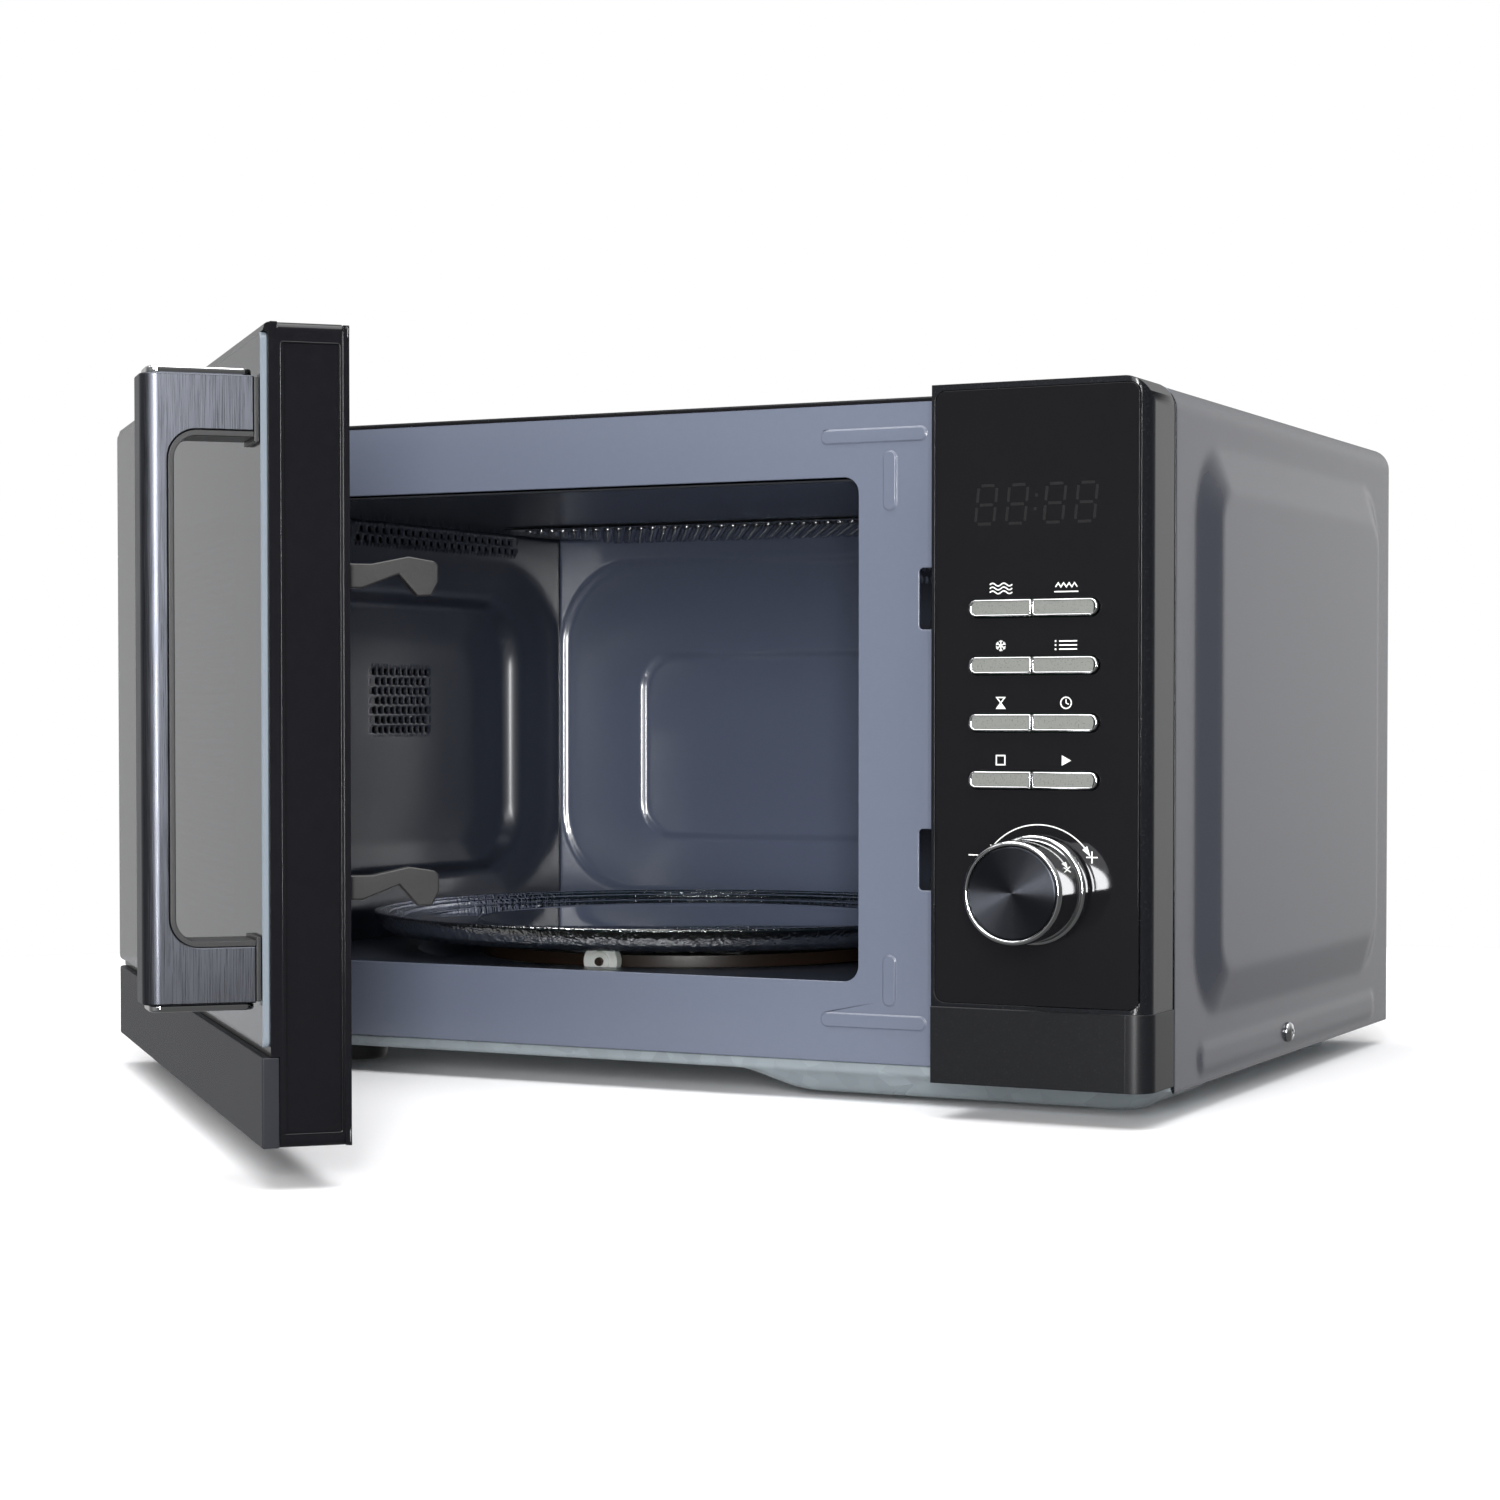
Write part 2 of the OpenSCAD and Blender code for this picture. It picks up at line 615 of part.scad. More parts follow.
module interlock_bracket() {
  color([0.85, 0.85, 0.8]) {
    box([136.6, 0, 66], [139.6, 42, 210]);
    for (z = hook_z) {
      // guide shelves below the hooks, and the keeper lip
      box([122, 6, z - 17], [136.7, 38, z - 14.5]);
      box([122, 11, z - 14.6], [136.7, 16, z - 7.5]);
      box([122, 36, z - 14.6], [136.7, 38, z + 12]);
    }
  }
}
module microswitches() {
  color([0.15, 0.15, 0.16]) for (z = [78, 112, 172]) {
    box([139.7, 12, z], [149.7, 40, z + 16]);
    for (y = [18, 34]) box([149.6, y - 0.4, z + 5], [156, y + 0.4, z + 11]);
  }
}
module cavity_lamp() {
  color([0.95, 0.93, 0.85]) {
    bar_x(cav_right + 1.3, cav_right + 22, 214, 211, 7);
    bar_x(cav_right + 21.9, cav_right + 32, 214, 211, 9);
  }
}
module casing_screws() {
  color("silver") {
    for (m = [0, 1]) mirror([m, 0, 0]) {
      bar_x(half_w + 0.85, half_w + 3.2, side_screw[0], side_screw[1], 4);
      bar_x(half_w - 8, half_w + 0.9, side_screw[0], side_screw[1], 1.9);
    }
    for (p = rear_screws) {
      bar_y(p[0], rear_y + sheet + 0.02, rear_y + sheet + 2, p[1], 4);
      bar_y(p[0], rear_y - 5, rear_y + sheet + 0.1, p[1], 1.9);
    }
  }
}
module cord_gland() {
  color([0.12, 0.12, 0.12]) difference() {
    union() {
      bar_y(gland_x, rear_y - 4, rear_y + 4, gland_z, gland_r);
      bar_y(gland_x, rear_y + sheet + 0.02, rear_y + 4, gland_z, gland_r + 2.6);
      bar_y(gland_x, rear_y - 4, rear_y - 0.05, gland_z, gland_r + 1.5);
    }
    bar_y(gland_x, rear_y - 6, rear_y + 6, gland_z, 3.6);
  }
}

// Arms that carry the door: one near its upper and one near its lower edge
arm_z = [253, 18];
module hinge_brackets() {
  color("silver") for (z = arm_z) difference() {
    union() {
      bar_z(hinge_x, hinge_y, z, z + 2.5, 5.4);
      box([hinge_x - 5, hinge_y, z], [hinge_x + 5, 0.4, z + 2.5]);
      up = z > 100 ? z - 16 : z;
      box([hinge_x - 6.5, plate_y + sheet + 0.05, up], [hinge_x + 14, 0.6, up + 18.5]);
    }
    bar_z(hinge_x, hinge_y, z - 1, z + 4, 3.08);
  }
}

// ---- door -----------------------------------------------------------------------

door_left = -half_w;
win_lo = [-168, 66];
win_hi = [84, 208];
trim_top = 40.4;
glass_bot = 43.3;
module door_frame() {
  color([0.1, 0.1, 0.11]) swung() difference() {
    union() {
      difference() {
        along_y(front_y + glass_t + 0.05, door_back - 1.2) rr([door_left, door_bot], [door_right, door_top], 2.5);
        // hollow behind the front wall, open towards the oven
        along_y(front_y + 8, door_back + 1) rr([door_left + 17, 28], [door_right - 4, 246], 3);
        along_y(front_y, door_back + 1) rr(win_lo, win_hi, 8);
        // lower step that the trim strip fills
        box([door_left - 1, front_y, door_bot - 1], [door_right + 1, front_y + 5, trim_top + 0.1]);
      }
      // upper cap strip that overhangs the glass
      along_x(door_left, door_right) polygon([[front_y + 1.2, door_top - 0.8], [front_y + 3, door_top],
        [front_y + 5, door_top], [front_y + 5, 257.7], [front_y + 0.6, 257.7]]);
      // closing lip along the free edge
      box([door_right - 1.2, door_back - 1.3, door_bot + 0.5], [door_right + 0.8, door_back + 0.6, door_top - 0.5]);
    }
    // long shallow recess in the free edge
    along_x(door_right - 0.8, door_right + 0.1) rr([front_y + 7, door_bot + 4], [door_back - 2, door_top - 6], 0.8);
    // pockets for the hinge arms, and the seats of the hinge pins
    for (z = [251.5, 16.5])
      box([door_left - 2, hinge_y - 8.5, z], [hinge_x + 7, door_back + 1, z + 5.5]);
    bar_z(hinge_x, hinge_y, 234, 258.5, 3);
    bar_z(hinge_x, hinge_y, 15, 39, 3);
    // rear edge beside the hinge, rounded about the hinge axis so that it clears the front plate
    difference() {
      box([door_left - 1, hinge_y, door_bot - 1], [hinge_x, door_back + 1, door_top + 1]);
      bar_z(hinge_x, hinge_y, door_bot - 2, door_top + 2, hinge_sweep_r);
    }
  }
}
module door_glass() {
  color([0.45, 0.47, 0.5]) swung() along_y(front_y, front_y + glass_t)
    rr([door_left + 0.4, glass_bot], [door_right - 0.6, 257.5], 2.5);
}
module door_trim() {
  color([0.17, 0.18, 0.2]) swung() difference() {
    translate([0, 0, door_bot]) linear_extrude(trim_top - door_bot) {
      translate([door_left + 6, front_y - 0.4]) square([door_right - door_left - 6, 5.3]);
      translate([door_left, front_y + 4.4]) square([30, 0.5]);
      intersection() {
        translate([door_left + 6, front_y + 5.6]) circle(6);
        translate([door_left, front_y - 1]) square([8, 5.9]);
      }
    }
  }
}
// Pressed steel screen: flat perforated field with a raised choke rim around it
module door_screen() {
  color([0.55, 0.56, 0.58]) swung() {
    difference() {
      along_y(door_back - 12, door_back - 11) rr([door_left + 18, 29], [door_right - 19, 245], 3);
      for (i = [0:20], j = [0:11]) translate([-158 + 11.6 * i + 5.8 * (j % 2), 0, 74 + 11.4 * j])
        bar_y(0, door_back - 14, door_back - 9, 0, 2.6, $fn = 24);
    }
    difference() {
      along_y(door_back - 11.02, door_back - 1.6) rr([door_left + 18, 29], [door_right - 19, 245], 3);
      along_y(door_back - 12, door_back) rr([door_left + 19, 30], [door_right - 20, 244], 2);
    }
  }
}
module choke_cover() {
  color([0.12, 0.12, 0.13]) swung() difference() {
    along_y(door_back - 1.15, door_back) rr([door_left + 10, 22], [door_right - 3.5, 252], 3);
    along_y(door_back - 3, door_back + 1) rr([win_lo[0] - 4, win_lo[1] - 4], [win_hi[0] + 4, win_hi[1] + 4], 6);
    // slots for the hooks, with room for their lift
    along_y(door_back - 3, door_back + 1) for (z = hook_z) rr([hook_x - 1.2, z - 6], [hook_x + hook_t + 1.2, z + 10], 1);
  }
}

handle_x = [116, 136];
grip_z = [56.8, 244.4];
grip_open = [75.6, 226];
handle_front = front_y - handle_reach;
module handle_plan() {
  r = 5;
  translate([handle_x[0] + r, handle_front]) square([handle_x[1] - handle_x[0] - 2 * r, handle_reach]);
  translate([handle_x[0], handle_front + r]) square([handle_x[1] - handle_x[0], handle_reach - r - 1.6]);
  for (x = [handle_x[0] + r, handle_x[1] - r]) translate([x, handle_front + r]) circle(r);
}
// Closed loop outline of the finger opening, grown outwards by g
module grip_outline(g) {
  rr([handle_front + 9.6 - g, grip_open[0] - g], [front_y + 20, grip_open[1] + g], 7 + g);
}
module handle_bar() {
  color([0.55, 0.55, 0.57]) swung() difference() {
    intersection() {
      translate([0, 0, grip_z[0]]) linear_extrude(grip_z[1] - grip_z[0]) handle_plan();
      box([handle_x[0] - 1, handle_front - 1, 0], [handle_x[1] + 1, front_y - 1.62, 300]);
    }
    along_x(handle_x[0] - 1, handle_x[1] + 1) grip_outline(1.8);
  }
}
module handle_liner() {
  color([0.08, 0.08, 0.09]) swung() {
    intersection() {
      difference() {
        along_x(handle_x[0] + 0.3, handle_x[1] - 0.1) grip_outline(1.75);
        along_x(handle_x[0] - 1, handle_x[1] + 1) grip_outline(0);
      }
      box([0, handle_front, 0], [200, front_y - 1.62, 300]);
    }
    for (z = [grip_z[0] + 0.4, grip_open[1] - 1.4])
      box([handle_x[0] + 0.5, front_y - 1.6, z], [handle_x[1] - 0.5, front_y - 0.02, z + 19.4]);
  }
}
module handle_caps() {
  color("white") swung() for (z = [grip_z[1] + 0.02, grip_z[0] - 2.22])
    translate([0, 0, z]) linear_extrude(2.2) rr([handle_x[0] + 2, handle_front + 2], [handle_x[1] - 2, front_y - 1.7], 3.5);
}
module door_hinge_pins() {
  color("silver") swung() {
    bar_z(hinge_x, hinge_y, 234, 258.4, 3);
    bar_z(hinge_x, hinge_y, 15, 39, 3);
  }
}

// Side view of one latch hook, root at y = 0, z = 0 at the root's middle height
module hook_shape() {
  polygon([[-6, 3.7], [9, 3.7], [20.5, 6.1], [28.6, 4.8], [29.8, 3.6], [29.8, -1.6],
    [27.6, -5.8], [23.3, -6], [17.5, 0.6], [6, -3.8], [-6, -3.8]]);
}
module latch_bar() {
  color([0.3, 0.29, 0.29]) swung() {
    for (z = hook_z) translate([0, door_back, z]) along_x(hook_x, hook_x + hook_t) hook_shape();
    box([hook_x - 3, door_back - 9, hook_z[0] - 20], [hook_x + hook_t + 1, door_back - 5.5, hook_z[1] + 20]);
  }
}

outer_casing();
rear_panel();
base_pan();
plastic_feet();
front_plate();
cavity_left_wall();
cavity_right_wall();
cavity_rear_wall();
cavity_ceiling();
cavity_floor();
grill_guard();
grill_heaters();
grill_reflector();
waveguide_cover();
waveguide();
magnetron();
transformer_core();
transformer_windings();
hv_capacitor();
fan_shroud();
fan_motor();
fan_blade();
turntable_motor();
turntable_coupler();
glass_tray();
roller_ring();
roller_wheel_1();
roller_wheel_2();
roller_wheel_3();
panel_housing();
panel_glass();
display_module();
control_board();
knob_encoder();
knob_body();
knob_face();
button_1();
button_2();
button_3();
button_4();
button_5();
button_6();
button_7();
button_8();
interlock_bracket();
microswitches();
cavity_lamp();
casing_screws();
cord_gland();
hinge_brackets();
door_frame();
door_glass();
door_trim();
door_screen();
choke_cover();
handle_bar();
handle_liner();
handle_caps();
door_hinge_pins();
latch_bar();
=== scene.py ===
"""Looks of a countertop microwave oven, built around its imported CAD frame.

Lengths are millimetres in the CAD frame, and are turned into metres when a mesh is made.
"""

import json
import math

import bmesh
import bpy
import numpy as np
from mathutils import Matrix, Vector


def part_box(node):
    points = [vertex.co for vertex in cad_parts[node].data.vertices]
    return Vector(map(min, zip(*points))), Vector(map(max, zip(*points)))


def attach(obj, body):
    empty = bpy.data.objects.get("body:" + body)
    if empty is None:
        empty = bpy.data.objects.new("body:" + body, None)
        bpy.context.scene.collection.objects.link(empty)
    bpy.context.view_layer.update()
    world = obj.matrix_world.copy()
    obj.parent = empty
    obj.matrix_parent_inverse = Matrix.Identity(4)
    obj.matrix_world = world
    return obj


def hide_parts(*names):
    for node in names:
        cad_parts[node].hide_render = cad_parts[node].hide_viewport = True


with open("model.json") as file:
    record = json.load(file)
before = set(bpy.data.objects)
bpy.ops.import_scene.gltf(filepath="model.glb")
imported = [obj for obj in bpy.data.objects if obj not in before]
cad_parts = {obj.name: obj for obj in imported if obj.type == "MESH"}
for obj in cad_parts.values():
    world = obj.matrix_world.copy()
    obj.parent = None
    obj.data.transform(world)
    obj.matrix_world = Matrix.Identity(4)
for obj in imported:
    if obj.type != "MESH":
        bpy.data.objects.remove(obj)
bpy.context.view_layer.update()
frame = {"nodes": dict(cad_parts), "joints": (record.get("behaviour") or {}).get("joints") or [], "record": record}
scene = bpy.context.scene

MM = 0.001
SHEET = 1.0             # thickness of the CAD's pressed sheets
CASING_RADIUS = 9.0     # bend between the casing's sides and its top


# ---- the frame ----

def span(node):
    """Lowest and highest corner of a CAD node, in millimetres."""
    low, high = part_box(node)
    return low / MM, high / MM


def centre_of(node):
    """Middle of a CAD node, in millimetres."""
    low, high = span(node)
    return (low + high) / 2


def door_swing():
    """Matrix that swings a point of the closed door to where the door is drawn."""
    hinge = next(j for j in frame["joints"] if j["name"] == "door_hinge")
    pivot = Vector(hinge["pos_m"]) / MM
    angle = -math.radians(hinge["range_deg"][0])
    swing = Matrix.Rotation(angle, 4, Vector(hinge["axis"]))
    return Matrix.Translation(pivot) @ swing @ Matrix.Translation(-pivot)


SWING = door_swing()


def closed_span(node):
    """Lowest and highest corner of a door node with the door closed, in millimetres."""
    back = SWING.inverted()
    points = np.array([back @ (v.co / MM) for v in frame["nodes"][node].data.vertices])
    return Vector(points.min(0)), Vector(points.max(0))


# ---- materials ----

def linear(*rgb):
    """Linear colour of an sRGB colour given from 0 to 255."""
    return tuple(c / 255 / 12.92 if c < 10 else ((c / 255 + 0.055) / 1.055) ** 2.4 for c in rgb)


def shaded(colour, factor):
    return tuple(min(1.0, c * factor) for c in colour) + (1.0,)


def configure(target, **settings):
    for key, value in settings.items():
        setattr(target, key, value)
    return target


def shader_node(tree, kind, inputs, output, **settings):
    """Named output of a new shader node; its inputs are plain values, or sockets to link."""
    node = configure(tree.nodes.new(kind), **settings)
    for key, value in inputs.items():
        if isinstance(value, bpy.types.NodeSocket):
            tree.links.new(value, node.inputs[key])
        else:
            node.inputs[key].default_value = value
    return node.outputs[output]


def feed(made, source, socket):
    """Links a socket to an input of the material's shader."""
    tree = made.node_tree
    tree.links.new(source, tree.nodes["Principled BSDF"].inputs[socket])


def surface_point(tree, stretch=(1, 1, 1)):
    """Object-space position, stretched so that a grain can run along one axis."""
    where = shader_node(tree, "ShaderNodeTexCoord", {}, "Object")
    return shader_node(tree, "ShaderNodeMapping", {"Vector": where, "Scale": stretch}, "Vector")


def noise(tree, point, size_mm, detail):
    inputs = {"Vector": point, "Scale": 1000 / size_mm, "Detail": detail, "Roughness": 0.55}
    return shader_node(tree, "ShaderNodeTexNoise", inputs, "Fac")


def cells(tree, size_mm):
    """Red, green and blue of a mosaic whose cells each have a random colour."""
    inputs = {"Vector": surface_point(tree), "Scale": 1000 / size_mm}
    colour = shader_node(tree, "ShaderNodeTexVoronoi", inputs, "Color")
    return shader_node(tree, "ShaderNodeSeparateColor", {"Color": colour}, "Red").node.outputs


def ramp_colour(tree, factor, *stops):
    made = shader_node(tree, "ShaderNodeValToRGB", {"Fac": factor}, "Color")
    elements = made.node.color_ramp.elements
    while len(elements) < len(stops):
        elements.new(0.5)
    for element, (place, colour) in zip(elements, stops):
        element.position = place
        element.color = colour
    return made


def ramp_value(tree, factor, low, high, start=0.3, end=0.7):
    """Goes from low to high while the factor goes from start to end."""
    inputs = {"Value": factor, "From Min": start, "From Max": end, "To Min": low, "To Max": high}
    return shader_node(tree, "ShaderNodeMapRange", inputs, "Result")


def bump(tree, height, distance_mm):
    inputs = {"Height": height, "Distance": distance_mm * MM, "Strength": 1.0}
    return shader_node(tree, "ShaderNodeBump", inputs, "Normal")


def material(name, colour, rough, metal=0.0, vary=0.08, blotch_mm=40.0, grain_mm=0.8,
             grain_depth=0.01, stretch=(1, 1, 1), rough_vary=0.15, **sockets):
    """Principled material with soft colour blotches, uneven gloss and a fine surface grain."""
    made = bpy.data.materials.new(name)
    made.use_nodes = True
    tree = made.node_tree
    shader = tree.nodes["Principled BSDF"]
    shader.inputs["Metallic"].default_value = metal
    for socket, value in sockets.items():
        shader.inputs[socket.replace("_", " ")].default_value = value
    blotches = noise(tree, surface_point(tree), blotch_mm, 3)
    grain = noise(tree, surface_point(tree, stretch), grain_mm, 2)
    tones = [(0.3, shaded(colour, 1 - vary)), (0.7, shaded(colour, 1 + vary))]
    halves = {"Factor": 0.5, "A": ramp_colour(tree, blotches, *tones),
              "B": ramp_colour(tree, grain, *tones)}
    feed(made, shader_node(tree, "ShaderNodeMix", halves, "Result", data_type="RGBA"), "Base Color")
    gloss = ramp_value(tree, grain, rough * (1 - rough_vary), rough * (1 + rough_vary))
    feed(made, gloss, "Roughness")
    if grain_depth > 0:
        feed(made, bump(tree, grain, grain_depth), "Normal")
    return made


def spangled_steel(name):
    """Zinc-coated sheet: angular crystal patches of slightly different grey and gloss."""
    tone = linear(142, 151, 156)
    made = material(name, tone, 0.34, metal=0.35, grain_mm=0.6, grain_depth=0.004)
    tree = made.node_tree
    patch = cells(tree, 7.0)
    stops = (0.0, shaded(tone, 0.90)), (1.0, shaded(tone, 1.10))
    feed(made, ramp_colour(tree, patch["Red"], *stops), "Base Color")
    feed(made, ramp_value(tree, patch["Green"], 0.27, 0.42, 0, 1), "Roughness")
    return made


def sparkle_plastic(name):
    """Charcoal moulding with a fine metallic sparkle, duller on its lower block."""
    tone = linear(17, 18, 21)
    made = material(name, tone, 0.22, grain_mm=0.5, grain_depth=0.003, IOR=1.40)
    tree = made.node_tree
    stops = (0.0, shaded(tone, 0.85)), (0.93, shaded(tone, 1.15)), (1.0, shaded(tone, 1.9))
    feed(made, ramp_colour(tree, cells(tree, 0.45)["Red"], *stops), "Base Color")
    height = shader_node(tree, "ShaderNodeSeparateXYZ", {"Vector": surface_point(tree)}, "Z")
    block_top = 40 * MM
    gloss = ramp_value(tree, height, 0.36, 0.22, block_top - 0.5 * MM, block_top + 0.5 * MM)
    feed(made, gloss, "Roughness")
    return made


def spun_metal(name):
    """Face turned on a lathe: circular grooves that throw bright cones of light."""
    made = material(name, linear(66, 68, 74), 0.34, metal=1.0, vary=0.05, grain_depth=0.0,
                    rough_vary=0.1, Anisotropic=0.95, Anisotropic_Rotation=0.25)
    tangent = shader_node(made.node_tree, "ShaderNodeTangent", {}, "Tangent",
                          direction_type="RADIAL", axis="Y")
    feed(made, tangent, "Tangent")
    return made


def wound_wire(name):
    """Enamelled copper wire in close turns."""
    made = material(name, linear(176, 92, 44), 0.3, 0.6, 0.1, grain_mm=1.5, grain_depth=0.0)
    tree = made.node_tree
    wire_mm = 1.1
    inputs = {"Vector": surface_point(tree), "Scale": 1000 / wire_mm / 20 * 3.1416,
              "Distortion": 0.4}
    turns = shader_node(tree, "ShaderNodeTexWave", inputs, "Fac", bands_direction="Z")
    feed(made, bump(tree, turns, 0.35), "Normal")
    return made


def clear_glass(name, colour, rough):
    """Glass with faint waviness."""
    return material(name, colour, rough, vary=0.02, grain_mm=12.0, grain_depth=0.004,
                    rough_vary=0.3, IOR=1.5, Transmission_Weight=1.0)


def pebbled_glass(name, node, border_mm):
    """Pressed glass of a round dish: smooth in the middle, finely pebbled over its border."""
    made = clear_glass(name, linear(96, 116, 111), 0.03)
    tree = made.node_tree
    low, high = span(node)
    centre = centre_of(node) * MM
    inputs = {"Vector": surface_point(tree), "Location": (-centre.x, -centre.y, 0),
              "Scale": (1, 1, 0)}
    around = shader_node(tree, "ShaderNodeMapping", inputs, "Vector")
    reach = shader_node(tree, "ShaderNodeVectorMath", {0: around}, "Value", operation="LENGTH")
    inner = (high.x - low.x) / 2 - border_mm
    border = ramp_value(tree, reach, 0, 1, inner * MM, (inner + 1.5) * MM)
    pebbles = noise(tree, surface_point(tree), 1.6, 1)
    relief = shader_node(tree, "ShaderNodeMath", {0: border, 1: pebbles}, "Value",
                         operation="MULTIPLY")
    feed(made, bump(tree, relief, 0.5), "Normal")
    return made


# sRGB colour, roughness, metal, vary, blotch_mm, grain_mm, grain_depth, and material()'s others
PLAIN_LOOKS = {
    "casing_paint": ((52, 54, 62), 0.2, 0, 0.02, 120, 1.5, 0.001, dict(IOR=1.5)),
    "enamel": ((92, 98, 113), 0.24, 0, 0.02, 90, 2.5, 0, dict(
        rough_vary=0.0, Coat_Weight=0.5, Coat_Roughness=0.12)),
    # Darker copy of the enamel for the rear wall: painted shade.
    "enamel_rear_painted_shade": ((80, 87, 105), 0.22, 0, 0.02, 90, 2.5, 0, dict(
        rough_vary=0.0, Coat_Weight=0.5, Coat_Roughness=0.1)),
    # Darker copy of the enamel for the left wall, the cavity floor and the door screen: painted shade.
    "enamel_dark": ((40, 44, 54), 0.3, 0, 0.03, 40, 2.5, 0, dict(
        rough_vary=0.0, Coat_Weight=0.55, Coat_Roughness=0.2)),
    # Near-black copy of the enamel for the ceiling: painted shade.
    "ceiling_enamel_painted_shade": ((30, 32, 36), 0.25, 0, 0.03, 40, 2.5, 0, dict(rough_vary=0.0)),
    "bare_steel": ((200, 202, 206), 0.18, 1, 0.06, 40, 0.9, 0.006, {}),
    "core_steel": ((96, 92, 90), 0.45, 0.7, 0.12, 40, 0.5, 0.03, dict(stretch=(1, 1, 12))),
    "aluminium": ((190, 191, 194), 0.3, 1, 0.05, 40, 0.7, 0.008, {}),
    "handle_metal": ((80, 82, 88), 0.32, 1, 0.07, 70, 0.16, 0.002, dict(
        stretch=(1, 1, 0.01), rough_vary=0.3, Anisotropic=0.5)),
    "polished": ((225, 226, 228), 0.06, 1, 0.02, 40, 0.8, 0, {}),
    "black_plastic": ((26, 26, 28), 0.42, 0, 0.12, 40, 0.6, 0.03, {}),
    "gloss_black": ((15, 15, 18), 0.14, 0, 0.05, 40, 3.0, 0.004, dict(Specular_IOR_Level=0.3)),
    "trim_plastic": ((36, 37, 41), 0.4, 0, 0.08, 40, 0.5, 0.004, dict(
        Specular_IOR_Level=0.0, Coat_Weight=0.45, Coat_Roughness=0.25)),
    "latch_plastic": ((32, 31, 31), 0.42, 0, 0.06, 40, 0.6, 0.02, {}),
    "white_plastic": ((228, 228, 224), 0.35, 0, 0.03, 40, 0.8, 0.01, dict(
        Subsurface_Weight=0.05)),
    "ring_plastic": ((40, 28, 20), 0.4, 0, 0.08, 40, 0.8, 0.02, {}),
    "key_plastic": ((122, 124, 120), 0.3, 0.3, 0.03, 40, 0.5, 0.006, {}),
    "circuit_board": ((26, 84, 52), 0.38, 0, 0.25, 6, 1.4, 0.03, {}),
    "mica": ((196, 184, 152), 0.4, 0, 0.12, 9, 1.2, 0.03, {}),
    "panel_lens": ((17, 17, 19), 0.05, 0, 0.05, 60, 9.0, 0.001, dict(Specular_IOR_Level=0.2)),
    "dim_segments": ((26, 25, 26), 0.08, 0, 0.1, 40, 0.5, 0, {}),
    "glass_edge": ((104, 112, 120), 0.22, 0, 0.04, 40, 0.8, 0.001, {}),
}
MATERIALS = {name: material(name, linear(*rgb), *values, **others)
             for name, (rgb, *values, others) in PLAIN_LOOKS.items()}
MATERIALS.update({
    "galvanised": spangled_steel("galvanised"),
    "bezel_plastic": sparkle_plastic("bezel_plastic"),
    "spun_face": spun_metal("spun_face"),
    "copper": wound_wire("copper"),
    "front_glass": clear_glass("front_glass", linear(150, 154, 160), 0.02),
    "lamp_glass": clear_glass("lamp_glass", linear(250, 246, 232), 0.15),
    "quartz": clear_glass("quartz", linear(225, 220, 212), 0.12),
    "tray_glass": pebbled_glass("tray_glass", "glass_tray", 19),
})

# CAD nodes whose look differs from their slot's. The cavity's ceiling and floor take darker copies of the enamel
# as painted shade, and the interlock bracket is painted black as painted shade where it shows through the seam by
# the panel.
NODE_LOOKS = {"door_trim": "trim_plastic", "cavity_ceiling": "ceiling_enamel_painted_shade",
              "cavity_floor": "enamel_dark", "interlock_bracket": "black_plastic"}


# ---- mesh helpers ----

def in_scene(name, data):
    """New object in the scene."""
    made = bpy.data.objects.new(name, data)
    scene.collection.objects.link(made)
    return made


def new_mesh(name, points, faces):
    mesh = bpy.data.meshes.new(name)
    mesh.from_pydata([Vector(p) for p in points], [], faces)
    return mesh


def piece(name, points, faces, body, slot, replaces=(), swung=False, extra_slots=(),
          face_slots=None):
    """New mesh piece from millimetre points, in place and riding on its body."""
    mesh = new_mesh(name, points, faces)
    if swung:
        mesh.transform(SWING)
    mesh.transform(Matrix.Scale(MM, 4))
    for used in (slot, *extra_slots):
        mesh.materials.append(MATERIALS[used])
    if face_slots is not None:
        mesh.polygons.foreach_set("material_index", face_slots)
    mesh.polygons.foreach_set("use_smooth", [True] * len(mesh.polygons))
    mesh.update()
    made = in_scene(name, mesh)
    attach(made, body)
    if replaces:
        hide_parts(*replaces)
    return made


def thicken(made, thickness, side):
    """Gives a sheet its thickness, in millimetres, on the side that side (+1 or -1) names."""
    solid = made.modifiers.new("thickness", "SOLIDIFY")
    return configure(solid, thickness=thickness * MM, offset=side)


def round_edges(made, width, angle=35, weld=False):
    """Small rounded edges in geometry, with flat faces kept flat in the shading."""
    if weld:
        made.modifiers.new("join", "WELD").merge_threshold = 0.002 * MM
        configure(made.modifiers.new("flats", "DECIMATE"), decimate_type="DISSOLVE",
                  angle_limit=math.radians(0.6))
    configure(made.modifiers.new("edges", "BEVEL"), width=width * MM, segments=2,
              limit_method="ANGLE", angle_limit=math.radians(angle), use_clamp_overlap=False)
    made.modifiers.new("normals", "WEIGHTED_NORMAL").keep_sharp = False


def polar(u, v, radius, degrees):
    """Point on a circle about (u, v)."""
    angle = math.radians(degrees)
    return u + radius * math.cos(angle), v + radius * math.sin(angle)


def rounded_rectangle(u0, v0, u1, v1, radius):
    """Outline as (u, v, direction in degrees), from the right of the upper right corner."""
    corners = ((u1 - radius, v1 - radius, 0), (u0 + radius, v1 - radius, 90),
               (u0 + radius, v0 + radius, 180), (u1 - radius, v0 + radius, 270))
    return [(*polar(u, v, radius, start + a), start + a)
            for u, v, start in corners for a in range(0, 91, 15)]


class Group:
    """Several shapes gathered into one mesh, with a material number for each face."""

    def __init__(self):
        self.points, self.faces, self.slots = [], [], []

    def add(self, points, faces, slot=0):
        offset = len(self.points)
        self.points += [tuple(p) for p in points]
        self.faces += [[i + offset for i in face] for face in faces]
        self.slots += [slot] * len(faces)


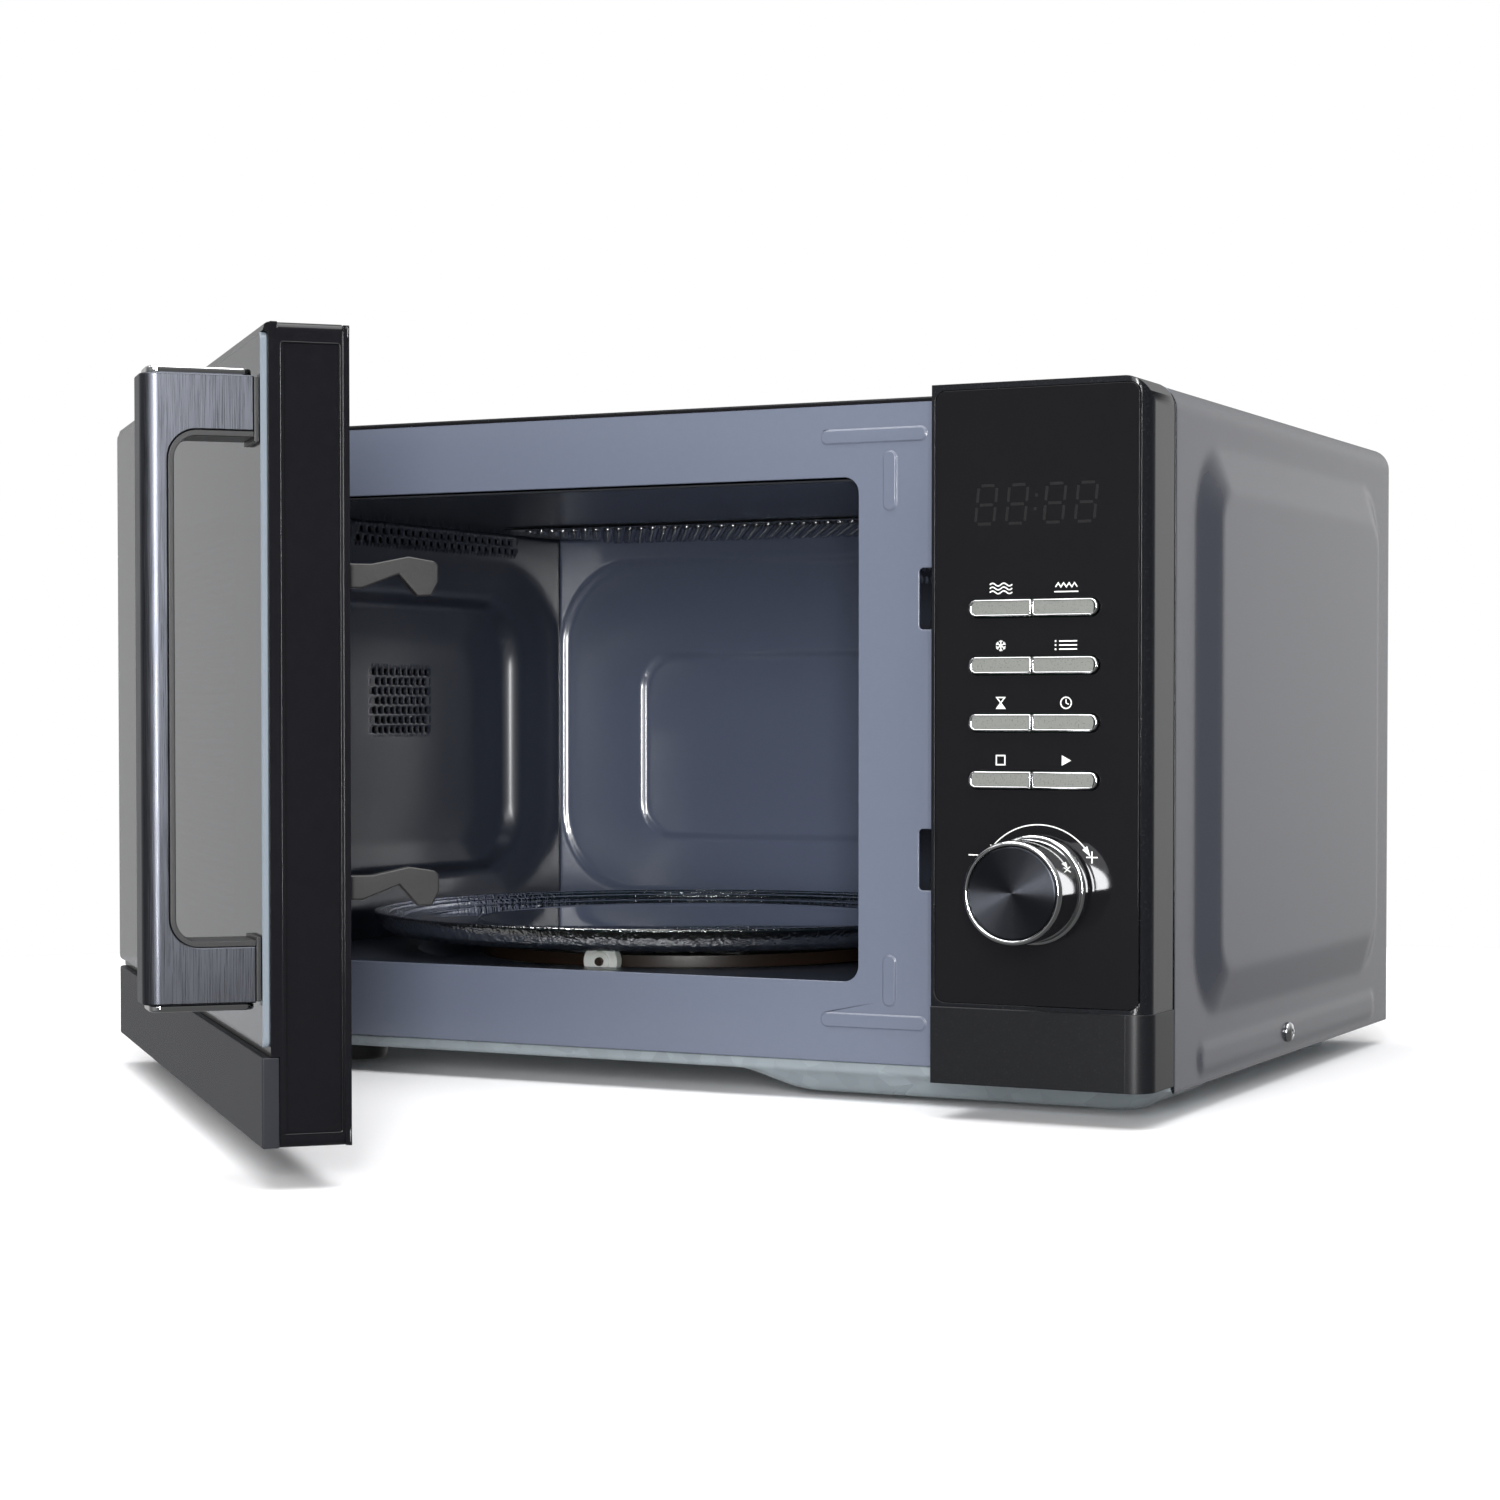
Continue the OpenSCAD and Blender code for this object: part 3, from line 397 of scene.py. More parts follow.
class Grid:
    """Sheet over a plane of (u, v): plain cells, gaps, and fields of holes laid like bricks."""

    def __init__(self):
        self.keys, self.uv, self.faces = {}, [], []

    def point(self, u, v):
        key = (round(u, 3), round(v, 3))
        if key not in self.keys:
            self.keys[key] = len(self.uv)
            self.uv.append((u, v))
        return self.keys[key]

    def cell(self, u0, u1, v0, v1):
        self.faces.append([self.point(*c) for c in ((u0, v0), (u1, v0), (u1, v1), (u0, v1))])

    def holed_cell(self, u0, u1, v0, v1, radius, sides):
        middle = (u0 + u1) / 2
        corners = [(u1, v0), (u1, v1), (middle, v1), (u0, v1), (u0, v0), (middle, v0), (u1, v0)]
        turns = [-45, 45, 90, 135, 225, 270, 315]
        for k in range(6):
            steps = round((turns[k + 1] - turns[k]) / 360 * sides)
            rim = [turns[k + 1] + (turns[k] - turns[k + 1]) * n / steps for n in range(steps + 1)]
            arc = [self.point(*polar(middle, (v0 + v1) / 2, radius, a)) for a in rim]
            self.faces.append([self.point(*corners[k]), self.point(*corners[k + 1]), *arc])

    def hole_field(self, start, pitch, count, radius, sides=16, centres=None):
        """Rows of holes, every other row half a pitch along; the centres are added to a list."""
        (u0, v0), (pu, pv), (nu, nv) = start, pitch, count
        for row in range(nv):
            v = v0 + row * pv
            odd = row % 2
            for n in range(nu - odd):
                u = u0 + (n + odd / 2) * pu
                self.holed_cell(u, u + pu, v, v + pv, radius, sides)
                if centres is not None:
                    centres.append((u + pu / 2, v + pv / 2))
            if odd:
                self.cell(u0, u0 + pu / 2, v, v + pv)
                self.cell(u0 + (nu - 0.5) * pu, u0 + nu * pu, v, v + pv)
        return (u0, v0, u0 + nu * pu, v0 + nv * pv)

    def fill(self, us, vs, gaps=()):
        """Plain cells between the grid lines, apart from those in a gap."""
        for u0, u1 in zip(us, us[1:]):
            for v0, v1 in zip(vs, vs[1:]):
                u, v = (u0 + u1) / 2, (v0 + v1) / 2
                if not any(g[0] < u < g[2] and g[1] < v < g[3] for g in gaps):
                    self.cell(u0, u1, v0, v1)

    def sheet(self, name, place, slot, replaced, thickness, side, body="cabinet", **options):
        """Piece of sheet metal over the grid, and its thickness modifier."""
        points = place(*np.array(self.uv).T)
        made = piece(name, points, self.faces, body, slot, [replaced], **options)
        return made, thicken(made, thickness, side)


def lines(step, *stops):
    """Grid lines through every stop, at most a step apart; lists among the stops are kept."""
    marks = sorted({round(float(s), 3) for stop in stops for s in np.atleast_1d(stop)})
    made = [marks[0]]
    for a, b in zip(marks, marks[1:]):
        count = max(1, math.ceil((b - a) / step - 1e-6))
        made += [round(a + (b - a) * n / count, 3) for n in range(1, count + 1)]
    return made


def field_lines(start, pitch, count):
    """Grid lines that a field of holes needs: half a pitch apart in u, a pitch apart in v."""
    us = [start[0] + n * pitch[0] / 2 for n in range(2 * count[0] + 1)]
    vs = [start[1] + n * pitch[1] for n in range(count[1] + 1)]
    return us, vs


def centred_field(low, high, margin, pitch):
    """Start, pitch and count of a field of holes in the middle of a rectangle."""
    count = tuple(int((high[k] - low[k] - margin[k]) / pitch[k]) for k in (0, 1))
    start = tuple((low[k] + high[k] - count[k] * pitch[k]) / 2 for k in (0, 1))
    return start, pitch, count


def outline_distance(u, v, outline):
    """Distance outside a rounded rectangle (u0, v0, u1, v1, radius)."""
    u0, v0, u1, v1, r = outline
    du = np.abs(u - (u0 + u1) / 2) - (u1 - u0) / 2 + r
    dv = np.abs(v - (v0 + v1) / 2) - (v1 - v0) / 2 + r
    outside = np.hypot(np.maximum(du, 0), np.maximum(dv, 0))
    return outside + np.minimum(np.maximum(du, dv), 0) - r


def climb(u, v, outer, inner):
    """How far up a pressed slope each point is: 0 on the outer outline, 1 on the inner one."""
    low = np.full(np.shape(u), -0.6)
    high = np.full(np.shape(u), 1.6)
    for _ in range(22):
        middle = (low + high) / 2
        outline = [a + (b - a) * middle for a, b in zip(outer, inner)]
        outline[4] = np.maximum(outline[4], 0.5)
        inside = outline_distance(u, v, outline) < 0
        low = np.where(inside, middle, low)
        high = np.where(inside, high, middle)
    return low


def smooth_step(t, half):
    """0 below -half, 1 above +half, and a smooth curve between."""
    s = np.clip((t + half) / (2 * half), 0, 1)
    return s * s * (3 - 2 * s)


def soft_slope(t, foot=0.12, brow=0.12):
    """Slope from 0 to 1 with its two creases rounded over +-foot and +-brow."""
    def eased(s, w):
        return np.where(s < -w, 0, np.where(s > w, s, (s + w) ** 2 / (4 * w)))
    return eased(t, foot) - eased(t - 1, brow)


def creased_slope(t, share=0.25, half=0.05):
    """Gentle slope from 0 to 1 between two short steep steps, as a press tool leaves."""
    steps = smooth_step(t, half) + smooth_step(t - 1, half)
    return share * steps + (1 - 2 * share) * np.clip(t, 0, 1)


def waisted_slope(t, share=0.5, half=0.09):
    """Slope from 0 to 1 that is gentle at both ends and steep in its middle."""
    return (1 - share) * soft_slope(t) + share * smooth_step(t - 0.5, half)


def loft(rings, caps=True, closed=False, flipped=False):
    """Points and faces of a skin over rings of points, all with the same count."""
    size = len(rings[0])
    rows = [list(range(n * size, (n + 1) * size)) for n in range(len(rings))]
    faces = [rows[0][::-1], rows[-1]] if caps else []
    for a, b in zip(rows, rows[1:] + (rows[:1] if closed else [])):
        for k in range(size):
            n = (k + 1) % size
            faces.append([a[k], a[n], b[n], b[k]])
    if flipped:
        faces = [face[::-1] for face in faces]
    return [point for ring in rings for point in ring], faces


def lathe(profile, segments, closed=False):
    """Points and faces of a profile of (radius, height) turned about +Z."""
    points, faces, rows = [], [], []
    for radius, height in profile:
        count = segments if radius > 1e-6 else 1
        rows.append(range(len(points), len(points) + count))
        points += [(*polar(0, 0, radius, 360 * k / segments), height) for k in range(count)]
    for a, b in zip(rows, rows[1:] + (rows[:1] if closed else [])):
        for k in range(segments):
            n = (k + 1) % segments
            ring = (a[k % len(a)], a[n % len(a)], b[n % len(b)], b[k % len(b)])
            face = list(dict.fromkeys(ring))
            if len(face) > 2:
                faces.append(face)
    return points, faces


def rounded(profile, radius, steps=4):
    """Profile with each inner corner rounded, where its neighbours leave room."""
    made = [profile[0]]
    for before, corner, after in zip(profile, profile[1:], profile[2:]):
        b, c, a = (np.array(p, float) for p in (before, corner, after))
        room = min(radius, np.linalg.norm(b - c) * 0.45, np.linalg.norm(a - c) * 0.45)
        start = c + (b - c) / np.linalg.norm(b - c) * room
        end = c + (a - c) / np.linalg.norm(a - c) * room
        for k in range(steps + 1):
            t = k / steps
            made.append(tuple((1 - t) ** 2 * start + 2 * t * (1 - t) * c + t * t * end))
    made.append(profile[-1])
    return made


def turned(points, matrix):
    return [matrix @ Vector(p) for p in points]


def turn(degrees, axis):
    return Matrix.Rotation(math.radians(degrees), 4, axis)


def facing_front(x, y, z):
    """Matrix that stands a +Z lathe on a point so that it faces the viewer (-Y)."""
    return Matrix.Translation((x, y, z)) @ turn(90, "X")


# ---- casing and base ----

def make_casing():
    """One bent sheet with pressed sides: u runs up the left, over and down the right."""
    low, high = span("outer_casing")
    half = frame_half_width
    side = high.z - low.z - CASING_RADIUS
    arc = math.pi / 2 * CASING_RADIUS
    total = 2 * side + 2 * arc + 2 * (half - CASING_RADIUS)
    press_outer = (22, 34, 272, 240, 27)
    press_inner = (38, 50, 256, 224, 13)
    bead_outer = (26, 13, 269, 25, 6)
    bead_inner = (28.6, 15.6, 266.4, 22.4, 3.4)
    bead_height = 0.8

    def place(u, v):
        mirrored = np.where(u > total / 2, total - u, u)
        sign = np.where(u > total / 2, 1.0, -1.0)
        on_arc = np.clip((mirrored - side) / CASING_RADIUS, 0, math.pi / 2)
        on_top = np.maximum(mirrored - side - arc, 0)
        out_x = np.cos(on_arc)
        out_z = np.sin(on_arc)
        z = low.z + np.minimum(mirrored, side) + CASING_RADIUS * out_z
        x = half - CASING_RADIUS + CASING_RADIUS * out_x - on_top
        press = soft_slope(climb(v, z, press_outer, press_inner), 0.10, 0.12) * (high.x - half)
        bead = soft_slope(climb(v, z, bead_outer, bead_inner), 0.3, 0.3) * bead_height
        lift = np.where(mirrored < side, press + bead, 0)
        return np.column_stack([sign * (x + lift * out_x), v, z + lift * out_z])

    grid = Grid()
    up = lines(1.6, 0, side) + lines(arc / 8, side, side + arc)[1:]
    down = [round(total - s, 3) for s in reversed(up)]
    grid.fill(up + lines(20, up[-1], down[0])[1:-1] + down, lines(2.2, low.y, high.y))
    made, thickness = grid.sheet("casing_shell", place, "casing_paint", "outer_casing", SHEET, -1,
                                 extra_slots=["gloss_black"])
    # The sheet's cut edges take the black material: painted shade along the casing's front edge.
    thickness.material_offset_rim = 1
    round_edges(made, 0.35, 50)


def make_painted_shadow_hem():
    """Hem inside the casing's front edge, painted black: a painted shadow line over the plate and by the panel."""
    low, high = span("outer_casing")
    half = frame_half_width
    bend_x, bend_z = half - CASING_RADIUS, high.z - CASING_RADIUS
    path = [(-half, low.z + 4, 180)]
    path += [(*polar(-bend_x, bend_z, CASING_RADIUS, a), a) for a in range(180, 89, -10)]
    path += [(*polar(bend_x, bend_z, CASING_RADIUS, a), a) for a in range(90, -1, -10)]
    path += [(half, low.z + 4, 0)]
    outside, inside, front, back = 0.7, 2.0, -2.15, 0.3
    section = ((outside, front), (inside, front), (inside, back), (outside, back))
    rings = []
    for x, z, a in path:
        out_x, out_z = polar(0, 0, 1, a)
        rings.append([(x - out_x * inset, y, z - out_z * inset) for inset, y in section])
    round_edges(piece("casing_hem", *loft(rings), "cabinet", "gloss_black"), 0.15, 40)


def make_base_pan():
    """Galvanised tray: flat sheet, one deep pressed trough with its drawn foot, front flange."""
    low, high = span("base_pan")
    pan_z = 10.5
    bend = 1.4
    quarter = bend * math.pi / 2
    flange = 2.9
    trough_outer = (42, 0.4, 214, 92, 16)
    trough_inner = (68, 6.5, 204, 82, 9)
    trough_depth = 8.0
    foot_x, foot_y, foot_depth = 188, 32, 2.45

    def foot_outline(reach, radius):
        return (foot_x - reach, foot_y - reach, foot_x + reach, foot_y + reach, radius)

    foot_outer = foot_outline(14.5, 14.4)
    foot_inner = foot_outline(11, 10.9)

    def place(u, v):
        angle = np.clip(-v / bend, 0, math.pi / 2)
        up = np.maximum(-v - quarter, 0)
        y = low.y + bend + np.maximum(v, 0) - bend * np.sin(angle)
        z = pan_z + bend * (1 - np.cos(angle)) + up
        drop = soft_slope(climb(u, y, trough_outer, trough_inner), 0.22, 0.25) * trough_depth
        foot = soft_slope(climb(u, y, foot_outer, foot_inner), 0.3, 0.3) * foot_depth
        flat = np.where(up > 0, 0.0, 1.0)
        return np.column_stack([u, y, z - (drop + foot) * flat])

    grid = Grid()
    us = lines(6, low.x, 40) + lines(1.6, 40, high.x)[1:]
    vs = lines(0.7, -quarter - flange, 0) + lines(1.5, 0, 96)[1:]
    vs += lines(8, 96, high.y - low.y - bend)[1:]
    grid.fill(us, vs)
    grid.sheet("base_tray", place, "galvanised", "base_pan", SHEET * 0.8, 1)


def make_feet():
    """Turned feet: a dark one at the front left, pale grey ones at the rear."""
    profile = [(4.5, 3), (4.5, 0.6), (5.2, 0), (10.2, 0), (11.3, 1.2), (12.9, 10.3),
               (12.4, 10.45), (3.0, 10.45)]
    shape, skin = lathe(rounded(profile, 0.7), 64, closed=True)
    feet = Group()
    dark, pale = 0, 1
    for x, y, slot in ((-150, 42, dark), (-188, 262, pale), (188, 262, pale)):
        feet.add(turned(shape, Matrix.Translation((x, y, 0))), skin, slot)
    piece("feet", feet.points, feet.faces, "cabinet", "black_plastic", ["plastic_feet"],
          extra_slots=["galvanised"], face_slots=feet.slots)


# ---- cooking cavity ----

def make_left_wall():
    """Left cavity wall: a large soft press outwards, a vent and holes below the ceiling."""
    low, high = span("cavity_left_wall")
    press_outer = (14, 58, 262, 217, 40)
    press_inner = (54, 84, 222, 176, 18)
    # Each field of holes: where it starts, its pitch, and its count along y and z
    vent = ((131, 134.5), (4.9, 4.4), (10, 7))
    slits = ((96, 219.5), (6.0, 4.0), (23, 2))

    def place(u, v):
        lift = waisted_slope(climb(u, v, press_outer, press_inner)) * (high.x - low.x - SHEET)
        return np.column_stack([high.x - lift, u, v])

    grid = Grid()
    gaps = [grid.hole_field(*vent, 1.55), grid.hole_field(*slits, 1.5)]
    vent_lines, slit_lines = field_lines(*vent), field_lines(*slits)
    grid.fill(lines(2, low.y, high.y, vent_lines[0], slit_lines[0]),
              lines(2, low.z, high.z, vent_lines[1], slit_lines[1]), gaps)
    # The wall takes the darker copy of the enamel, which is painted shade.
    grid.sheet("cavity_wall_left", place, "enamel_dark", "cavity_left_wall", SHEET * 0.9, 1)


def make_rear_wall():
    """Rear cavity wall: a press with wide sloping borders."""
    low, high = span("cavity_rear_wall")
    press_outer = (-186, 58, 97, 217, 40)
    press_inner = (-145, 85, 56, 172, 16)

    def place(u, v):
        lift = creased_slope(climb(u, v, press_outer, press_inner)) * (high.y - low.y - SHEET)
        return np.column_stack([u, low.y + lift, v])

    grid = Grid()
    grid.fill(lines(1.3, low.x, high.x), lines(1.3, low.z, high.z))
    # The wall takes a darker copy of the enamel, which is painted shade.
    grid.sheet("cavity_wall_rear", place, "enamel_rear_painted_shade", "cavity_rear_wall", SHEET * 0.9, -1)


def make_grill_guard():
    """Perforated steel guard below the ceiling heaters, with a drawn collar at each hole."""
    low, high = span("grill_guard")
    pitch = (5.8, 5.2)
    holes = centred_field(low, high, (10, 8), pitch)

    def place(u, v):
        edge = -outline_distance(u, v, (low.x, low.y, high.x, high.y, 3))
        wave = 0.45 * np.sin(u / pitch[0] * math.pi) * np.sin(v / pitch[1] * math.pi)
        return np.column_stack([u, v, low.z + 0.25 + np.where(edge > 5, wave, 0)])

    grid = Grid()
    field = field_lines(*holes)
    centres = []
    gap = grid.hole_field(*holes, 1.95, 8, centres)
    grid.fill(lines(6, low.x, high.x, field[0]), lines(6, low.y, high.y, field[1]), [gap])
    guard = Group()
    guard.add(place(*np.array(grid.uv).T), grid.faces)
    collar = ((1.97, 0.0), (1.85, 0.8), (1.6, 1.5))
    for u, v in centres:
        rings = [[(*polar(u, v, radius, 30 * k), low.z + 0.3 - drop) for k in range(12)]
                 for radius, drop in collar]
        guard.add(*loft(rings, caps=False, flipped=True))
    made = piece("grill_mesh", guard.points, guard.faces, "cabinet", "bare_steel", ["grill_guard"])
    thicken(made, 0.4, 1)


# ---- door ----

def make_door_screen():
    """Microwave screen: fine holes over the window, and the folded choke rim around it."""
    low, high = closed_span("door_screen")
    window_low, window_high = (-168.0, 66.0), (84.0, 208.0)
    holes = centred_field(window_low, window_high, (6, 6), (3.6, 3.2))
    rim = high.y - low.y

    def place(u, v):
        over = np.maximum.reduce([low.x - u, u - high.x, low.z - v, v - high.z, 0 * u])
        x = np.clip(u, low.x, high.x)
        z = np.clip(v, low.z, high.z)
        return np.column_stack([x, low.y + np.minimum(over, rim), z])

    grid = Grid()
    field = field_lines(*holes)
    gap = grid.hole_field(*holes, 1.15, 8)
    us = lines(12, low.x, high.x, field[0])
    vs = lines(12, low.z, high.z, field[1])
    grid.fill(us, vs, [gap])
    for fold in ((low.z - rim, low.z), (high.z, high.z + rim)):
        grid.fill(us, fold)
    for fold in ((low.x - rim, low.x), (high.x, high.x + rim)):
        grid.fill(fold, vs)
    # The screen takes the darker copy of the enamel, which is painted shade.
    grid.sheet("door_mesh_screen", place, "enamel_dark", "door_screen", 0.7, -1, body="door",
               swung=True)


def make_door_glass():
    """Front glass of the door: clear faces, and pale ground edges with a fine chamfer."""
    low, high = closed_span("door_glass")
    chamfer, radius = 0.35, 2.5
    rings = []
    for inset, y in ((chamfer, low.y), (0, low.y + chamfer), (0, high.y - chamfer),
                     (chamfer, high.y)):
        outline = rounded_rectangle(low.x + inset, low.z + inset, high.x - inset, high.z - inset,
                                    radius - inset)
        rings.append([(x, y, z) for x, z, _ in outline])
    points, faces = loft(rings, flipped=True)
    clear, ground_edge = [0, 0], [1] * (len(faces) - 2)
    made = piece("door_pane", points, faces, "door", "front_glass", ["door_glass"], swung=True,
                 extra_slots=["glass_edge"], face_slots=clear + ground_edge)
    made.data.polygons.foreach_set("use_smooth", [False] * len(faces))


def make_door_lip():
    """Thin closing lip behind the door's free edge, flared at its lower and upper ends."""
    low, high = closed_span("door_frame")
    profile = [(0.0, -1.3), (0.0, 0.5), (1.0, 0.6), (1.0, 0.0), (0.5, -1.3)]
    levels = [(low.z + 0.2, 0.6), (low.z + 1.2, 0.6), (low.z + 4, 0.3), (low.z + 7, 0.0),
              (high.z - 7, 0.0), (high.z - 4, 0.2), (high.z - 1.6, 0.5), (high.z - 0.8, 0.5)]
    rings = [[(high.x - 1.2 + dx * (1 + flare), high.y - 0.6 + dy, z) for dx, dy in profile]
             for z, flare in levels]
    made = piece("door_lip", *loft(rings, flipped=True), "door", "gloss_black", swung=True)
    round_edges(made, 0.15, 30)


def make_edge_rim():
    """Fine rounded rim round the long recess in the door's free edge."""
    low, high = closed_span("door_frame")
    path = rounded_rectangle(low.y + 5.4, low.z + 4, high.y - 2.6, high.z - 6, 0.8)
    thick = 0.28
    rings = []
    for y, z, a in path:
        out_y, out_z = polar(0, 0, 1, a)
        bead = [polar(0, 0, thick, 36 * k) for k in range(10)]
        rings.append([(high.x - 0.98 + b, y + out_y * c, z + out_z * c) for c, b in bead])
    points, faces = loft(rings, caps=False, closed=True)
    piece("door_edge_rim", points, faces, "door", "gloss_black", swung=True)


# ---- turntable ----

def make_tray():
    """Pressed glass tray: stepped rim, pebbled border that hangs past the wheels, fine ridge."""
    low, high = span("glass_tray")
    centre = centre_of("glass_tray") * Vector((1, 1, 0))
    radius = (high.x - low.x) / 2
    base = high.z - 8.6
    # Distance in from the rim, and height over the flat underside; None is the axis
    top = [(None, 4.2), (46, 4.2), (45, 4.7), (44, 4.2), (24, 4.2), (18, 4.6), (13, 5.2),
           (12.9, 6.7), (11.5, 7.0), (9, 6.9), (6.5, 6.6), (6.4, 7.8), (5, 8.0), (3.1, 7.8),
           (3.0, 8.5), (1.6, 8.6), (0.3, 8.3)]
    under = [(0, 7.4), (1.0, 4.6), (3.5, 1.6), (7, -0.4), (11, -1.2), (15, -1.2), (18, -0.7),
             (21, -0.1), (25, 0.0), (None, 0.0)]
    profile = [(0 if inset is None else radius - inset, height) for inset, height in top + under]
    shape, skin = lathe(rounded(profile, 1.0, 3), 540)
    points = []
    for x, y, z in shape:
        r = math.hypot(x, y)
        angle = math.atan2(y, x)
        pebbled = radius - 19 < r < radius - 0.8 and z < 4.5
        dent = 0.2 * math.sin(angle * 120 + r * 1.9) * math.sin(r * 1.7) if pebbled else 0
        points.append(Vector((x, y, z + base + dent)) + centre)
    tray = Group()
    tray.add(points, skin)
    lug = [(15, -3.5), (24, -3.5), (24, 3.5), (15, 3.5)]
    for angle in (90, 210, 330):
        spin = Matrix.Translation(centre) @ turn(angle, "Z")
        tray.add(*loft([[spin @ Vector((x, y, height)) for x, y in lug]
                        for height in (base - 4, base + 0.2)]))
    piece("tray", tray.points, tray.faces, "turntable", "tray_glass", ["glass_tray"])


# ---- control panel ----

def make_knob():
    """Chrome knob: skirt ring, dark groove, polished barrel, raised lip round the face."""
    low, high = span("knob_body")
    centre = centre_of("knob_body")
    reach = panel_front_y - low.y
    skirt = (high.x - low.x) / 2
    barrel = skirt - 1.2
    profile = [(0, -10), (3, -10), (3, 0.6), (skirt - 0.8, 0.6), (skirt, 1.4), (skirt, 5.4),
               (skirt - 0.7, 6.0), (barrel - 0.7, 6.05), (barrel - 0.7, 7.9), (barrel - 0.4, 8.0),
               (barrel, 8.5), (barrel, reach - 1.3), (barrel - 0.35, reach - 0.45),
               (barrel - 1.0, reach), (barrel - 1.7, reach - 0.25), (barrel - 2.0, reach - 1.2),
               (0, reach - 1.25)]
    shape, skin = lathe(rounded(profile, 0.45), 160)
    groove_low, groove_high = 5.95, 7.95
    slots = []
    for face in skin:
        heights = [shape[i][2] for i in face]
        in_groove = groove_low < min(heights) and max(heights) < groove_high
        narrow = max(math.hypot(*shape[i][:2]) for i in face) < skirt - 0.3
        slots.append(1 if in_groove and narrow else 0)
    place = facing_front(centre.x, panel_front_y, centre.z)
    piece("knob_barrel", turned(shape, place), skin, "knob", "polished", ["knob_body"],
          extra_slots=["black_plastic"], face_slots=slots)
    face_low, face_high = span("knob_face")
    radius = (face_high.x - face_low.x) / 2
    depth = face_high.y - face_low.y
    disc = [(0, 0), (radius, 0), (radius, depth - 0.15)]
    disc += [(radius * k / 24, depth) for k in range(24, -1, -1)]
    shape, skin = lathe(disc, 160)
    place = facing_front(centre.x, face_high.y, centre.z)
    piece("knob_disc", turned(shape, place), skin, "knob", "spun_face", ["knob_face"])


def key_outline(low, high, rounded_left, inset, end_inset):
    """Outline of one button: one end round, inset further than the rest, the other square."""
    radius = (high.z - low.z) / 2 - inset
    squeeze = (radius + inset - end_inset) / radius
    z = (high.z + low.z) / 2
    left, right = low.x + inset, high.x - inset
    soft = min(0.7, radius * 0.5)

    def arc(x, z, r, start, end, count, flatten=1.0):
        made = (polar(0, 0, r, start + (end - start) * k / count) for k in range(count + 1))
        return [(x + dx * flatten, z + dz) for dx, dz in made]

    if rounded_left:
        return (arc(right - soft, z - radius + soft, soft, -90, 0, 4)
                + arc(right - soft, z + radius - soft, soft, 0, 90, 4)
                + arc(left + radius, z, radius, 90, 270, 20, squeeze))
    return (arc(right - radius, z, radius, -90, 90, 20, squeeze)
            + arc(left + soft, z + radius - soft, soft, 90, 180, 4)
            + arc(left + soft, z - radius + soft, soft, 180, 270, 4))


def make_button_rims():
    """Polished bezel round each button; the CAD button stays as the pale pad inside it."""
    # Inset, inset of the round end, and depth behind the button's front
    section = [(-0.12, -0.12, 2.4), (-0.12, -0.12, 0.55), (-0.02, 0.0, 0.1), (0.2, 0.3, -0.16),
               (0.36, 0.6, -0.2), (0.5, 1.0, -0.14), (0.58, 1.35, -0.02), (0.6, 1.5, 0.1),
               (0.6, 1.5, 2.4)]
    for number in range(1, 9):
        low, high = span(f"button_{number}")
        rings = []
        for inset, end_inset, depth in section:
            outline = key_outline(low, high, number % 2 == 1, inset, end_inset)
            rings.append([(x, low.y + depth, z) for x, z in outline])
        points, faces = loft(rings, caps=False, closed=True, flipped=True)
        piece(f"button_{number}_bezel", points, faces, f"key_{number}", "polished")


def stroke(path, width, closed=False):
    """Flat band of quads that follows a path of (x, z) points, as points and faces."""
    pts = [np.array(p, float) for p in path]
    count = len(pts)
    points = []
    for k, p in enumerate(pts):
        before = pts[(k - 1) % count] if closed or k > 0 else p - (pts[1] - p)
        after = pts[(k + 1) % count] if closed or k < count - 1 else p + (p - pts[k - 1])
        d1 = (p - before) / np.linalg.norm(p - before)
        d2 = (after - p) / np.linalg.norm(after - p)
        n = np.array([-(d1 + d2)[1], (d1 + d2)[0]])
        n = n / np.linalg.norm(n)
        reach = width / 2 / max(0.4, abs(float(np.dot(n, [-d1[1], d1[0]]))))
        points += [tuple(p + n * reach), tuple(p - n * reach)]
    faces = []
    for k in range(count if closed else count - 1):
        n = (k + 1) % count
        faces.append([2 * k, 2 * k + 1, 2 * n + 1, 2 * n])
    return points, faces


class Print(Group):
    """Flat marks on a plane of constant y, drawn with (x, z) points about an origin."""

    def __init__(self, y):
        super().__init__()
        self.y = y
        self.origin = (0, 0)

    def flat(self, points, faces):
        x0, z0 = self.origin
        self.add([(x0 + x, self.y, z0 + z) for x, z in points], faces)

    def line(self, path, width=0.42, closed=False):
        self.flat(*stroke(path, width, closed))

    def shape(self, outline):
        self.flat(outline, [list(range(len(outline)))])


def circle(radius, count=32):
    return [polar(0, 0, radius, 360 * k / count) for k in range(count)]


def mark_waves(ink):
    """Three wavy lines: microwaves."""
    for z in (-1.35, 0, 1.35):
        ink.line([(8.4 * k / 24 - 4.2, z + 0.5 * math.sin(k / 24 * 4 * math.pi))
                  for k in range(25)])


def mark_grill(ink):
    """A heating element over a plate."""
    ink.line([(k - 4.0, 1.5 if k % 2 else 0.1) for k in range(9)])
    ink.line([(-4.4, -1.5), (4.4, -1.5)])


def mark_snow(ink):
    """A six-armed flake."""
    for arm in range(90, 450, 60):
        if arm < 270:
            ink.line([polar(0, 0, 1.9, arm + 180), polar(0, 0, 1.9, arm)], 0.38)
        fork = polar(0, 0, 1.9 * 0.62, arm)
        for side in (-50, 50):
            ink.line([fork, polar(*fork, 0.8, arm + side)], 0.3)


def mark_list(ink):
    """Three lines with bullets: a list of programmes."""
    for z in (-1.4, 0, 1.4):
        ink.line([(-2.6, z), (4.0, z)])
        ink.shape([(x - 3.9, z + dz) for x, dz in circle(0.34, 12)])


